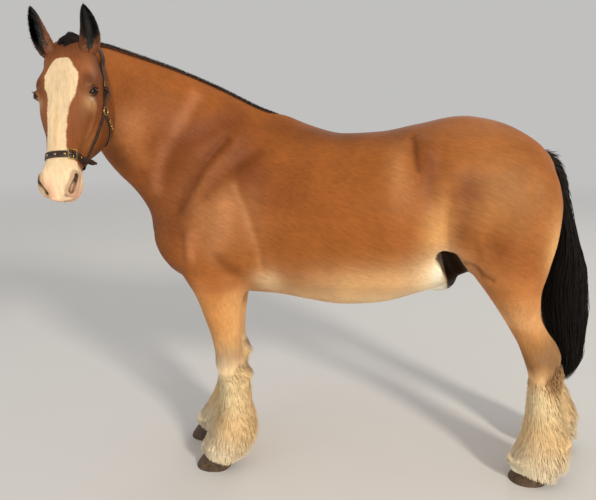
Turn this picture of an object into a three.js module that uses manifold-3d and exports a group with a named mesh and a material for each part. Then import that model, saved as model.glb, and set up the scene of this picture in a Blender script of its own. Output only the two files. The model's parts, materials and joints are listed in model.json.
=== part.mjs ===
// A heavy horse of the feathered draught type, standing, with its head turned to its left.
// Millimetres, +Z up. The horse faces -X and its left side is -Y. It stands on Z = 0.
import * as THREE from 'three';
import { mergeVertices } from 'three/addons/utils/BufferGeometryUtils.js';
import Module from 'manifold-3d';

const wasm = await Module();
wasm.setup();

// Heights above the ground.
const withersTop = 1680;
const backTop = 1602;
const croupTop = 1682;
const breastPoint = 1160;
const bellyLow = 802;
const elbowHeight = 895;
const kneeHeight = 527;
const hockHeight = 620;

// Places along the body.
const breastFront = -1012;
const withersPlace = -440;
const croupPlace = 385;
const buttockBack = 815;

// The gap between touching pieces.
const gap = 0.6;

const LEFT = -1;
const RIGHT = 1;
const mm = (x, y, z) => new THREE.Vector3(x, y, z);
const degrees = THREE.MathUtils.degToRad;

// ---- shaping tools ----

// A smooth function through rows of [place, value, value, ...], with no overshoot between rows.
function through(rows) {
  const slope = (a, b, k) => (b[k] - a[k]) / (b[0] - a[0]);
  const tangent = (i, k) => {
    if (i === 0 || i === rows.length - 1) return 0;
    const before = slope(rows[i - 1], rows[i], k);
    const after = slope(rows[i], rows[i + 1], k);
    return before * after <= 0 ? 0 : (2 * before * after) / (before + after);
  };
  const tangents = rows.map((row, i) => row.map((_, k) => (k ? tangent(i, k) : 0)));
  return (place) => {
    let i = 0;
    while (i < rows.length - 2 && place > rows[i + 1][0]) i += 1;
    const [a, b] = [rows[i], rows[i + 1]];
    const width = b[0] - a[0];
    const t = Math.min(1, Math.max(0, (place - a[0]) / width));
    const near = 2 * t ** 3 - 3 * t ** 2 + 1;
    const lead = (t ** 3 - 2 * t ** 2 + t) * width;
    const lag = (t ** 3 - t ** 2) * width;
    return a.slice(1).map((value, j) => {
      const k = j + 1;
      return near * value + (1 - near) * b[k] + lead * tangents[i][k] + lag * tangents[i + 1][k];
    });
  };
}

// A ring of points round a centre. It reaches `top` along `up`, `bottom` the other way,
// and `half` along `side` both ways. A power of 2 is an ellipse, less is pointed, more is square.
function oval({ centre, up, side, top, bottom, half, upper = 2, lower = 2, sides }) {
  const ring = [];
  for (let i = 0; i < sides; i += 1) {
    const angle = (i / sides) * 2 * Math.PI;
    const [c, s] = [Math.cos(angle), Math.sin(angle)];
    const power = 2 / (c > 0 ? upper : lower);
    const along = Math.sign(c) * Math.abs(c) ** power * (c > 0 ? top : bottom);
    const across = Math.sign(s) * Math.abs(s) ** power * half;
    ring.push(centre.clone().addScaledVector(up, along).addScaledVector(side, across));
  }
  return ring;
}

const middleOf = (ring) => ring.reduce((sum, p) => sum.add(p), mm(0, 0, 0)).divideScalar(ring.length);

// A closed body through rings with the same number of points, its ends closed by fans.
function loft(rings) {
  const count = rings[0].length;
  const points = rings.flat();
  const ends = [points.push(middleOf(rings[0])) - 1, points.push(middleOf(rings.at(-1))) - 1];
  const faces = [];
  const last = (rings.length - 1) * count;
  for (let i = 0; i < count; i += 1) {
    const next = (i + 1) % count;
    faces.push([ends[0], next, i], [ends[1], last + i, last + next]);
    for (let row = 0; row < last; row += count) {
      const [a, b, c, d] = [row + i, row + next, row + count + next, row + count + i];
      faces.push(...(points[a].distanceTo(points[c]) < points[b].distanceTo(points[d])
        ? [[a, b, c], [a, c, d]] : [[a, b, d], [b, c, d]]));
    }
  }
  const geometry = new THREE.BufferGeometry().setFromPoints(points);
  const volume = faces.reduce((sum, [a, b, c]) =>
    sum + points[a].dot(points[b].clone().cross(points[c])), 0);
  return geometry.setIndex((volume > 0 ? faces : faces.map((f) => f.toReversed())).flat());
}

// Moves points outwards near each swelling: `at` is its middle, `reach` its radii, `by` its height.
function swell(geometry, swellings) {
  geometry.computeVertexNormals();
  const { position, normal } = geometry.attributes;
  for (let i = 0; i < position.count; i += 1) {
    const p = new THREE.Vector3().fromBufferAttribute(position, i);
    const out = new THREE.Vector3().fromBufferAttribute(normal, i);
    const by = swellings.reduce((sum, s) => {
      const away = p.clone().sub(s.at).divide(s.reach).lengthSq();
      return sum + s.by * Math.exp(-away);
    }, 0);
    p.addScaledVector(out, by);
    position.setXYZ(i, p.x, p.y, p.z);
  }
  return geometry;
}

// A closed mesh as a solid that can be cut and joined.
function solid(geometry) {
  const bare = geometry.clone();
  bare.deleteAttribute('normal');
  bare.deleteAttribute('uv');
  const merged = mergeVertices(bare, 1e-3);
  return new wasm.Manifold(new wasm.Mesh({
    numProp: 3,
    vertProperties: new Float32Array(merged.attributes.position.array),
    triVerts: new Uint32Array(merged.index.array),
  }));
}

const count = (from, to, steps) =>
  Array.from({ length: steps + 1 }, (_, i) => from + ((to - from) * i) / steps);

// How far ring `i` of `rings` moves along a body that grows: only the end rings do.
const endShift = (i, rings, grow) => ({ 0: -grow, [rings - 1]: grow })[i] ?? 0;

// ---- trunk ----

// [place, top, bottom, half width, height of the widest part, roundness above, roundness below]
const trunkShape = through([
  [breastFront, breastPoint + 70, breastPoint - 65, 85, breastPoint, 2, 2],
  [-980, 1310, 1015, 185, 1150, 2, 2.1],
  [-890, 1430, 935, 268, 1130, 2, 2.2],
  [-760, 1540, 885, 292, 1120, 1.9, 2.2],
  [-600, 1635, 860, 300, 1130, 1.7, 2.2],
  [withersPlace, withersTop, 848, 308, 1145, 1.55, 2.2],
  [-300, 1638, 823, 330, 1170, 1.75, 2.15],
  [-140, backTop, bellyLow, 350, 1185, 2, 2.1],
  [20, 1610, 812, 358, 1195, 2.1, 2.1],
  [200, 1647, 860, 340, 1220, 2.15, 2.1],
  [croupPlace, croupTop, 930, 312, 1250, 2.1, 2.1],
  [550, 1654, 980, 294, 1280, 2.1, 2],
  [690, 1584, 1040, 258, 1300, 2.1, 2],
  [770, 1510, 1110, 190, 1300, 2, 2],
  [buttockBack, 1400, 1210, 70, 1300, 2, 2],
]);

function trunkBody(grow) {
  const places = [...count(breastFront, -900, 3), ...count(-790, 600, 12), ...count(670, buttockBack, 3)];
  const rings = places.map((x) => {
    const [top, bottom, half, widest, upper, lower] = trunkShape(x);
    return oval({
      centre: mm(x, 0, widest),
      up: mm(0, 0, 1),
      side: mm(0, 1, 0),
      top: top - widest + grow,
      bottom: widest - bottom + grow,
      half: half + grow,
      upper,
      lower,
      sides: 20,
    });
  });
  const swellings = [LEFT, RIGHT].flatMap((side) => [
    { at: mm(-930, side * 190, 1110), reach: mm(90, 110, 110), by: 26 }, // point of the shoulder
    { at: mm(-640, side * 250, 1310), reach: mm(90, 120, 220), by: 14 }, // shoulder blade
    { at: mm(-660, side * 300, 1020), reach: mm(120, 120, 110), by: 18 }, // upper arm
    { at: mm(215, side * 215, 1540), reach: mm(60, 70, 60), by: 22 }, // point of the hip
    { at: mm(190, side * 330, 1400), reach: mm(80, 120, 130), by: -24 }, // hollow of the flank
    { at: mm(260, side * 320, 1040), reach: mm(80, 120, 90), by: -14 }, // fold of the flank
  ]);
  return swell(loft(rings), swellings);
}

// The sheath hangs under the belly, between the thighs.
function sheathBody(grow) {
  const ball = new THREE.SphereGeometry(1, 10, 8);
  return ball.scale(88 + grow, 44 + grow, 58 + grow).translate(308, 0, 930);
}

// The groin is hollow on both sides, between the fold of the flank, the sheath and the thigh.
function groinBody(side) {
  const ball = new THREE.SphereGeometry(1, 7, 6).scale(54, 138, 122);
  return ball.rotateY(degrees(-18)).translate(330, side * 172, 975);
}

// ---- neck ----

// The crest runs from the withers to the poll, and the throat from the breast to the jaw.
const crestLine = new THREE.CatmullRomCurve3([
  mm(-300, 0, 1620),
  mm(-425, 0, 1670),
  mm(-530, -10, 1710),
  mm(-703, -50, 1795),
  mm(-886, -120, 1873),
  mm(-1044, -235, 1928),
  mm(-1128, -345, 1952),
  mm(-1190, -430, 1948),
]);
const throatLine = new THREE.CatmullRomCurve3([
  mm(-700, 0, 980),
  mm(-880, 0, 1040),
  mm(-1000, -80, 1140),
  mm(-1025, -140, 1255),
  mm(-1070, -190, 1351),
  mm(-1117, -240, 1422),
  mm(-1152, -295, 1502),
  mm(-1180, -365, 1620),
]);
const neckHalfWidth = through([
  [0, 200],
  [0.29, 198],
  [0.43, 170],
  [0.57, 135],
  [0.71, 110],
  [0.86, 96],
  [1, 84],
]);

// The neck's frame at a share of its length: its middle, the way to the crest and the way across.
function neckFrame(share) {
  const crest = crestLine.getPoint(share);
  const throat = throatLine.getPoint(share);
  const up = crest.clone().sub(throat).normalize();
  const along = crestLine.getTangent(share).add(throatLine.getTangent(share));
  const side = along.cross(up).normalize();
  return { centre: crest.clone().lerp(throat, 0.5), up, side, reach: crest.distanceTo(throat) / 2 };
}

function neckBody(grow) {
  const rings = count(0, 1, 8).map((share, i, { length }) => {
    const { reach, ...frame } = neckFrame(share);
    const [half] = neckHalfWidth(share);
    frame.centre.addScaledVector(crestLine.getTangent(share), endShift(i, length, grow));
    return oval({
      ...frame,
      top: reach + grow,
      bottom: reach + grow,
      half: half + grow,
      upper: 1.6,
      lower: 2.1,
      sides: 16,
    });
  });
  return loft(rings);
}

// ---- head ----

// The head is shaped upright in its own frame: x goes down the face from the poll,
// y to the horse's left, and z out of the forehead. It is then turned into its pose.
const pollPoint = mm(-1199, -454, 1928);
const headLength = 632;
const headHeading = degrees(99); // from straight ahead round to the left
const headPitch = degrees(60); // below the horizontal
const headRoll = degrees(8); // the left side higher

// [place down the head, reach to the face, reach to the jaw, half width,
//  squareness of the face, squareness of the jaw]
const headShape = through([
  [-45, 15, 60, 46, 2, 2],
  [-10, 46, 120, 80, 2.2, 2],
  [50, 60, 180, 98, 2.4, 2.4],
  [120, 66, 222, 108, 2.5, 2.8],
  [195, 68, 262, 108, 2.3, 3],
  [265, 60, 270, 104, 2.1, 3.2],
  [335, 53, 240, 90, 2, 2.8],
  [410, 49, 178, 68, 2, 2.3],
  [475, 44, 132, 60, 2.2, 2.1],
  [530, 42, 112, 66, 2.3, 2.2],
  [580, 33, 100, 70, 2.3, 2.3],
  [612, 12, 86, 58, 2.2, 2.3],
  [headLength, -14, 60, 34, 2, 2],
]);

const headFront = mm(
  -Math.cos(headHeading) * Math.sin(headPitch),
  -Math.sin(headHeading) * Math.sin(headPitch),
  Math.cos(headPitch),
);
const headLeft = mm(Math.sin(headHeading), -Math.cos(headHeading), 0);
const headDown = headFront.clone().cross(headLeft).negate();
const headTurn = new THREE.Matrix4()
  .makeBasis(headDown, headLeft, headFront)
  .multiply(new THREE.Matrix4().makeRotationX(headRoll))
  .setPosition(pollPoint);

function headBody(grow) {
  const rings = count(-45, headLength, 20).map((x, i, { length }) => {
    const [face, jaw, half, upper, lower] = headShape(x);
    return oval({
      centre: mm(x + endShift(i, length, grow), 0, 0),
      up: mm(0, 0, 1),
      side: mm(0, 1, 0),
      top: face + grow,
      bottom: jaw + grow,
      half: half + grow,
      upper,
      lower,
      sides: 20,
    });
  });
  const paired = [LEFT, RIGHT].flatMap((side) => [
    { at: mm(176, -side * 100, 32), reach: mm(48, 40, 32), by: 17 }, // brow
    { at: mm(282, -side * 92, -26), reach: mm(90, 30, 20), by: 9 }, // crest of the cheekbone
    { at: mm(225, -side * 110, -150), reach: mm(110, 70, 90), by: 16 }, // cheek
    { at: mm(405, -side * 74, -60), reach: mm(80, 40, 50), by: -7 }, // hollow before the cheek
    { at: mm(108, -side * 100, 20), reach: mm(40, 40, 30), by: -9 }, // hollow over the eye
    { at: mm(562, -side * 58, -6), reach: mm(38, 30, 34), by: 12 }, // wing of the nostril
  ]);
  const middle = [
    { at: mm(602, 0, -52), reach: mm(34, 60, 18), by: -8 }, // between the lips
    { at: mm(562, 0, -104), reach: mm(34, 40, 26), by: 10 }, // chin
    { at: mm(490, 0, -120), reach: mm(34, 60, 30), by: -8 }, // chin groove
  ];
  return swell(loft(rings), [...paired, ...middle]).applyMatrix4(headTurn);
}

// ---- legs ----

// Each leg is shaped by level slices, out to the tips of its hair. The rows are
// [height, front, back, distance of its middle from the body's, half width, squareness].
const featherRim = 38;
const rimRise = 52;
const foreShape = through([
  [featherRim, -806, -582, 146, 88, 2],
  [58, -812, -574, 146, 92, 2],
  [106, -796, -552, 147, 88, 2],
  [173, -756, -532, 149, 80, 2],
  [250, -722, -530, 151, 72, 2],
  [317, -712, -558, 153, 58, 2],
  [384, -706, -576, 156, 55, 2],
  [432, -708, -576, 158, 58, 2.1],
  [468, -716, -550, 160, 70, 2.3],
  [496, -726, -576, 161, 77, 2.6],
  [kneeHeight, -733, -588, 163, 77, 2.6],
  [580, -736, -594, 166, 72, 2.4],
  [670, -750, -600, 171, 73, 2.2],
  [780, -781, -596, 184, 88, 2.1],
  [elbowHeight, -818, -584, 196, 104, 2.1],
  [1020, -876, -580, 196, 110, 2.1],
  [1150, -880, -640, 176, 80, 2.1],
]);
const hindShape = through([
  [featherRim, 642, 872, 168, 92, 2],
  [58, 642, 898, 168, 96, 2],
  [106, 658, 908, 170, 92, 2],
  [173, 686, 914, 172, 84, 2],
  [250, 710, 904, 174, 76, 2],
  [346, 716, 876, 177, 64, 2],
  [442, 712, 856, 180, 62, 2.2],
  [510, 704, 850, 181, 68, 2.4],
  [570, 686, 850, 181, 72, 2.4],
  [hockHeight, 664, 848, 180, 66, 2.1],
  [665, 644, 834, 180, 57, 1.9],
  [725, 610, 790, 181, 64, 1.8],
  [810, 558, 745, 182, 84, 2],
  [900, 494, 738, 180, 112, 2.1],
  [1020, 408, 764, 176, 136, 2.2],
  [1160, 350, 796, 168, 144, 2.2],
  [1290, 385, 806, 160, 130, 2.2],
  [1400, 450, 782, 146, 98, 2],
  [1480, 540, 710, 136, 50, 2],
]);

// A foot set `stride` ahead of or behind where the shapes put it swings the whole leg from its top.
const fore = { shape: foreShape, top: 1150, hip: 1030, joint: kneeHeight + 95, foot: -757 };
const hind = { shape: hindShape, top: 1480, hip: 1180, joint: hockHeight + 65, foot: 738 };
const legs = [
  { name: 'foreleg_left', side: LEFT, stride: 0, ...fore },
  { name: 'foreleg_right', side: RIGHT, stride: -95, ...fore },
  { name: 'hindleg_left', side: LEFT, stride: 0, ...hind },
  { name: 'hindleg_right', side: RIGHT, stride: 172, ...hind },
];

const swing = ({ hip, stride }, z) => stride * Math.max(0, 1 - z / hip);

function slice(leg, z, grow, sides, [front, back, middle, half, squareness]) {
  return oval({
    centre: mm((front + back) / 2 + swing(leg, z), leg.side * middle, z),
    up: mm(-1, 0, 0),
    side: mm(0, 1, 0),
    top: (back - front) / 2 + grow,
    bottom: (back - front) / 2 + grow,
    half: half + grow,
    upper: squareness,
    lower: squareness,
    sides,
  });
}

// The hair's rim hangs lowest behind the foot and lies over the coronet in front.
function liftRim(leg, ring) {
  const { x: toe } = ring[0];
  return ring.map((p) => {
    const forward = (p.x - toe) / (ring[ring.length / 2].x - toe);
    p.z += (1 - forward) * rimRise * Math.max(0, 1 - (p.z - featherRim) / 120);
    return p;
  });
}

function legBody(leg, grow) {
  const lower = count(featherRim, leg.joint, 11);
  const upper = count(leg.joint, leg.top, leg.shape === foreShape ? 4 : 6).slice(1);
  const rings = [...lower, ...upper].map((z) => liftRim(leg, slice(leg, z, grow, 12, leg.shape(z))));
  return loft(rings);
}

// ---- flesh in one piece, then parted ----

// Each body can be grown outwards, to hollow out whatever lies against it.
const asSolid = (body) => (body.isBufferGeometry ? solid(body) : body);
const joined = (bodies) => bodies.map(asSolid).reduce((whole, body) => whole.add(body));
const hollowTrunk = (grow) => solid(trunkBody(grow))
  .subtract(solid(groinBody(LEFT)))
  .subtract(solid(groinBody(RIGHT)));
const frontBody = (grow) => joined([neckBody(grow), headBody(grow)]);
const rearBody = (grow) =>
  joined([hollowTrunk(grow), sheathBody(grow), ...legs.map((leg) => legBody(leg, grow))]);

// A box given by its middle and its size, turned by a matrix, as a solid.
function block(centre, size, turn = new THREE.Matrix4()) {
  const box = new THREE.BoxGeometry(size.x, size.y, size.z);
  return solid(box.translate(centre.x, centre.y, centre.z).applyMatrix4(turn));
}

// ---- hooves ----

const hoofLength = 168;
const hoofWidth = 158;
const toeHeight = 98;
const heelHeight = 52;
const soleEdge = 8;

const footPlace = (leg) => mm(leg.foot + leg.stride, leg.side * leg.shape(0)[2], 0);

// A foot is widest at the ground. The coronet is smaller, set back, and slopes down to the heel.
function hoofBody(leg, grow) {
  const rings = [[0, 0.94], [soleEdge, 1], [60, 0.9], [100 + grow, 0.8]].map(([height, scale]) => {
    const ring = oval({
      centre: mm(height * 0.42, 0, 0),
      up: mm(-1, 0, 0),
      side: mm(0, 1, 0),
      top: (hoofLength / 2) * scale + grow,
      bottom: (hoofLength / 2) * scale + grow,
      half: (hoofWidth / 2) * scale + grow,
      upper: 2.1,
      lower: 2.6,
      sides: 14,
    });
    return ring.map((p) => {
      const slope = ((heelHeight + toeHeight) / 2 - ((p.x / hoofLength) * (toeHeight - heelHeight))) / 100;
      return mm(p.x, p.y, height * (height > soleEdge ? slope : 1)).add(footPlace(leg));
    });
  });
  return loft(rings);
}

// ---- tail ----

const dockLine = new THREE.CatmullRomCurve3([
  mm(690, 0, 1496),
  mm(765, 0, 1488),
  mm(823, 0, 1420),
  mm(858, 0, 1310),
  mm(872, 0, 1180),
  mm(882, 0, 1070),
]);

function dockBody(grow) {
  const rings = count(0, 1, 7).map((share, i, { length }) => {
    const along = dockLine.getTangent(share);
    const centre = dockLine.getPoint(share).addScaledVector(along, endShift(i, length, grow));
    const side = mm(0, 1, 0);
    const up = side.clone().cross(along).normalize();
    const radius = 33 - 11 * share + grow;
    return oval({ centre, up, side, top: radius * 0.8, bottom: radius * 0.8, half: radius, sides: 10 });
  });
  return loft(rings);
}

// [height, front, back, half width] of the long hair of the tail
const tailShape = through([
  [435, 915, 945, 14],
  [470, 905, 975, 34],
  [580, 868, 1004, 62],
  [720, 822, 1004, 84],
  [840, 790, 1000, 96],
  [940, 796, 990, 94],
  [1040, 818, 966, 88],
  [1120, 836, 940, 66],
  [1195, 858, 912, 36],
  [1225, 872, 896, 20],
]);

function tailHairBody() {
  const rings = count(435, 1225, 8).map((z) => {
    const [front, back, half] = tailShape(z);
    const reach = (back - front) / 2;
    return oval({
      centre: mm((front + back) / 2, 0, z),
      up: mm(1, 0, 0),
      side: mm(0, 1, 0),
      top: reach,
      bottom: reach,
      half,
      sides: 10,
    });
  });
  return loft(rings);
}

// ---- mane and forelock, both clipped short ----

const maneHeight = 21;
const maneWidth = 26;

function maneBody() {
  const rings = count(0.12, 0.9, 9).map((share) => {
    const { centre, up, side, reach } = neckFrame(share);
    centre.addScaledVector(up, reach);
    const size = { top: maneHeight, bottom: 14, half: maneWidth / 2, lower: 2.5 };
    return oval({ centre, up, side, ...size, sides: 8 });
  });
  return loft(rings);
}

function forelockBody() {
  const rings = [[-34, 30, 12], [-24, 50, 30], [0, 66, 41], [20, 68, 36], [38, 58, 12]].map(
    ([x, top, half]) => oval({
      centre: mm(x, 12, 20),
      up: mm(0, 0, 1),
      side: mm(0, 1, 0),
      top,
      bottom: 10,
      half,
      sides: 10,
    }),
  );
  return loft(rings).applyMatrix4(headTurn);
}

// ---- ears ----

const earLength = 170;
const earWall = 5;
const earRoot = (side) => mm(38, side === LEFT ? 84 : -80, 34);
const earTip = {
  [LEFT]: mm(-124, 74, 98),
  [RIGHT]: mm(-98, -112, 130),
};
// The way each ear's opening faces: forwards and out to its own side.
const earOpening = {
  [LEFT]: mm(0.35, 0.45, 0.82),
  [RIGHT]: mm(0.3, -0.45, 0.85),
};

// [share of the ear, half width, reach to the back, reach of the rims to the front]
const earShape = through([
  [-0.12, 29, 29, 28],
  [0.05, 37, 33, 28],
  [0.25, 39, 31, 23],
  [0.5, 36, 24, 18],
  [0.75, 25, 16, 11],
  [0.9, 13.5, 10, 6],
  [1, 4, 4, 3],
]);

function earRings(side, shrink, from, to, steps) {
  const root = earRoot(side);
  const tip = earTip[side];
  const along = tip.clone().sub(root).normalize();
  const across = along.clone().cross(earOpening[side]).normalize();
  const open = across.clone().cross(along).normalize();
  return count(from, to, steps).map((share) => {
    const [half, back, rim] = earShape(share);
    // The ear bows backwards and outwards in its middle, and its tip comes in again.
    const bow = Math.sin(Math.PI * share);
    const centre = root.clone().addScaledVector(along, earLength * share);
    centre.addScaledVector(open, -10 * bow).add(mm(0, -side * 13 * bow, 0));
    return { centre, open, across, half: half - shrink, back: back - shrink, rim };
  });
}

function earBody(side, grow) {
  const outer = loft(earRings(side, -grow, -0.12, 1, 7).map(({ centre, open, across, half, back, rim }) =>
    oval({ centre, up: open, side: across, top: rim + grow, bottom: back, half, upper: 1.7, sides: 10 })));
  const inner = loft(earRings(side, earWall, 0.08, 0.93, 4).map((ring) => {
    return oval({
      centre: ring.centre,
      up: ring.open,
      side: ring.across,
      top: ring.rim * 3,
      bottom: Math.max(ring.back, 1.5),
      half: Math.max(ring.half, 2),
      upper: 6,
      sides: 8,
    });
  }));
  return [outer.applyMatrix4(headTurn), inner.applyMatrix4(headTurn)];
}

// ---- eyes ----

const eyeRadius = 23;
const eyePlace = (side) => mm(216, -side * 98, 18);

function eyeBody(side, grow) {
  const ball = new THREE.SphereGeometry(eyeRadius + grow, 10, 6);
  const { x, y, z } = eyePlace(side);
  return solid(ball.translate(x, y, z).applyMatrix4(headTurn));
}

// ---- headcollar ----

const strapThickness = 4.5;
const nosebandWidth = 26;
const cheekWidth = 20;
// The routes of the straps on the side of the head, as [down the head, out of the forehead].
const nosebandRoute = [[490, 100], [426, -220]];
const headpieceRoute = [
  ...[[448, -103], [390, -105], [355, -94], [311, -82], [243, -78], [175, -70]],
  ...[[130, -74], [51, -80], [0, -74], [-50, -62], [-130, -40]],
];
const throatRoute = [[243, -78], [258, -120], [274, -165], [290, -205], [300, -330]];
const ringPlace = [243, -82];
const ringRadius = 15;
const cheekBuckle = { at: [132, -76], along: mm(-1, 0, 0.05), length: 26, width: 34, wire: 4 };
const nosebandBuckle = { at: [483, 28], along: mm(-0.1, 0, -1), length: 30, width: 34, wire: 4.5 };
// The loose end of the noseband runs on past the buckle and stands out behind the jaw.
const nosebandEnd = { at: [475, -40], along: mm(0.06, 0, -1), length: 88, width: 22 };
const snapPlace = [276, -128];
const snapLength = 46;
const snapWidth = 12;
const billetPlace = [182, -86];
const billetLength = 58;
const billetWidth = 16;

// A block across the whole head, over a route seen from the side of the head.
function across(route, width) {
  const edge = (way) => route.map(([x, z], i) => {
    const before = route[Math.max(i - 1, 0)];
    const after = route[Math.min(i + 1, route.length - 1)];
    const along = new THREE.Vector2(after[0] - before[0], after[1] - before[1]);
    along.setLength((way * width) / 2);
    return new THREE.Vector2(x - along.y, z + along.x);
  });
  const shape = new THREE.Shape([...edge(1), ...edge(-1).reverse()]);
  const reach = 420;
  const geometry = new THREE.ExtrudeGeometry(shape, { depth: reach, bevelEnabled: false });
  // The drawing's plane becomes the head's x and z, and its depth lies across the head.
  const lay = new THREE.Matrix4().makeBasis(mm(1, 0, 0), mm(0, 0, 1), mm(0, -1, 0));
  lay.setPosition(0, reach / 2, 0);
  return solid(geometry.applyMatrix4(lay).applyMatrix4(headTurn));
}

// The point of the head's side at [down the head, out of the forehead], and the way out of it.
const headMesh = new THREE.Mesh(headBody(0).applyMatrix4(headTurn.clone().invert()));
headMesh.geometry.computeVertexNormals();
function onSide(side, [x, z]) {
  const from = mm(x, -side * 300, z);
  const [hit] = new THREE.Raycaster(from, mm(0, side, 0)).intersectObject(headMesh);
  return { point: hit.point, out: hit.face.normal };
}

// Lays a flat piece, drawn in x and y, on the head: its y runs along `along`, its z out of the head.
function layOn({ point, out }, along, geometry, height) {
  const right = along.clone().cross(out).normalize();
  const ahead = out.clone().cross(right).normalize();
  const turn = new THREE.Matrix4().makeBasis(right, ahead, out);
  turn.setPosition(point.clone().addScaledVector(out, height));
  return geometry.applyMatrix4(turn).applyMatrix4(headTurn);
}

// A square buckle with its bar, flat in x and y.
function buckle({ length, width, wire }) {
  const [x, y] = [width / 2, length / 2];
  const corners = (left, right, low, high) => [
    new THREE.Vector2(left, low),
    new THREE.Vector2(right, low),
    new THREE.Vector2(right, high),
    new THREE.Vector2(left, high),
  ];
  const frame = new THREE.Shape(corners(-x, x, -y, y));
  frame.holes.push(new THREE.Path(corners(wire - x, x - wire, wire - y, -wire / 2)));
  frame.holes.push(new THREE.Path(corners(wire - x, x - wire, wire / 2, y - wire)));
  return new THREE.ExtrudeGeometry(frame, { depth: wire, bevelEnabled: false });
}

// A flat tongue of strap, with its point at the end of its length.
function tongue(length, width) {
  const [x, y] = [width / 2, length / 2];
  const outline = [[-x, -y], [x, -y], [x, y - x], [x / 2, y], [-x / 2, y], [-x, y - x]];
  const shape = new THREE.Shape(outline.map(([a, b]) => new THREE.Vector2(a, b)));
  return new THREE.ExtrudeGeometry(shape, { depth: strapThickness, bevelEnabled: false });
}

// ---- the horse ----

const horse = new THREE.Group();
function place(name, body, material, tolerance = gap / 6) {
  // A cut may leave crumbs behind: only the largest piece is kept.
  const [whole] = body.decompose().sort((a, b) => b.volume() - a.volume());
  const { vertProperties, triVerts, numProp, numVert } = whole.simplify(tolerance).getMesh();
  const points = new Float32Array(numVert * 3);
  for (let i = 0; i < numVert; i += 1) {
    points.set(vertProperties.subarray(i * numProp, i * numProp + 3), i * 3);
  }
  const geometry = new THREE.BufferGeometry();
  geometry.setAttribute('position', new THREE.BufferAttribute(points, 3));
  geometry.setIndex(new THREE.BufferAttribute(triVerts, 1));
  geometry.computeVertexNormals();
  const mesh = new THREE.Mesh(geometry, material.clone());
  mesh.name = name;
  horse.add(mesh);
}
const finish = (color, roughness, metalness = 0) =>
  new THREE.MeshStandardMaterial({ color, roughness, metalness });
const bay = finish(0xa55a28, 0.6);
const cream = finish(0xd9c4a3, 0.8);
const black = finish(0x17130f, 0.7);
const horn = finish(0x5b4a3c, 0.5);
const eye = finish(0x1a0f0a, 0.1);
const leather = finish(0x2c1d15, 0.5);
const brass = finish(0xc9a45a, 0.3, 1);

const front = frontBody(0);
const frontGrown = frontBody(gap);
const rear = rearBody(0);
const rearGrown = rearBody(gap);
const bodyGrown = frontGrown.add(rearGrown);
const hooves = legs.map((leg) => solid(hoofBody(leg, 0)));
const hoovesGrown = legs.map((leg) => solid(hoofBody(leg, gap))).reduce((a, b) => a.add(b));
const eyesGrown = eyeBody(LEFT, gap).add(eyeBody(RIGHT, gap));
const flesh = front.add(rear).subtract(hoovesGrown).subtract(eyesGrown);

// The body is parted at the throat, in front of the shoulder, and across each leg.
const headTilt = new THREE.Matrix4().makeRotationY(degrees(37)).setPosition(-60, 0, -65);
const sized = (x, y, z, grow) => mm(x + 2 * grow, y + 2 * grow, z + 2 * grow);
const headBlock = headTurn.clone().multiply(headTilt);
const headPart = (grow) => block(mm(350, 0, 400), sized(1100, 420, 800, grow), headBlock);
const neckTilt = new THREE.Matrix4().makeRotationY(degrees(-33)).setPosition(-700, -60, 1480);
const neckPart = (grow) => block(mm(-450, 0, 100), sized(900, 1500, 1200, grow), neckTilt);
const legPart = (leg, height, grow) => {
  const [from, to] = leg.shape === foreShape ? [-950, -510] : [400, 1200];
  const centre = mm((from + to) / 2, leg.side * (225 + gap / 2), height / 2);
  return block(centre, sized(to - from, 450, height, grow));
};

const head = flesh.intersect(headPart(0));
let rest = flesh.subtract(headPart(gap));
const neck = rest.intersect(neckPart(0));
rest = rest.subtract(neckPart(gap));
const legPieces = legs.map((leg) => {
  const top = leg.shape === foreShape ? 850 : 1030;
  const upper = rest.intersect(legPart(leg, top, 0));
  const piece = {
    lower: upper.intersect(legPart(leg, leg.joint, 0)),
    upper: upper.subtract(legPart(leg, leg.joint, gap)),
  };
  rest = rest.subtract(legPart(leg, top, gap));
  return piece;
});
place('head', head, bay);
place('neck', neck, bay);
place('trunk', rest, bay);
legs.forEach((leg, i) => {
  place(`${leg.name}_upper`, legPieces[i].upper, bay);
  place(`${leg.name}_lower`, legPieces[i].lower, cream);
  place(leg.name.replace('leg', 'hoof'), hooves[i], horn);
});

const dock = solid(dockBody(0)).subtract(rearGrown);
place('tail', dock, black);
place('tail_hair', solid(tailHairBody()).subtract(solid(dockBody(gap))).subtract(rearGrown), black);

// The headcollar lies on the skin: straps are slices of a shell round the head and neck.
const strapGap = 1.1;
const loose = 0.5;
const layer = frontBody(strapGap + strapThickness).subtract(frontBody(strapGap)).subtract(bodyGrown);
const nosebandRoom = across(nosebandRoute, nosebandWidth + 2 * gap);
const headpieceRoom = across(headpieceRoute, cheekWidth + 2 * gap);
place('noseband', layer.intersect(across(nosebandRoute, nosebandWidth)), leather, loose);
const headpiece = layer.intersect(across(headpieceRoute, cheekWidth)).subtract(nosebandRoom);
place('headpiece', headpiece, leather, loose);
const throatStrap = layer.intersect(across(throatRoute, cheekWidth)).subtract(headpieceRoom);
place('throat_strap', throatStrap, leather, loose);

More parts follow.
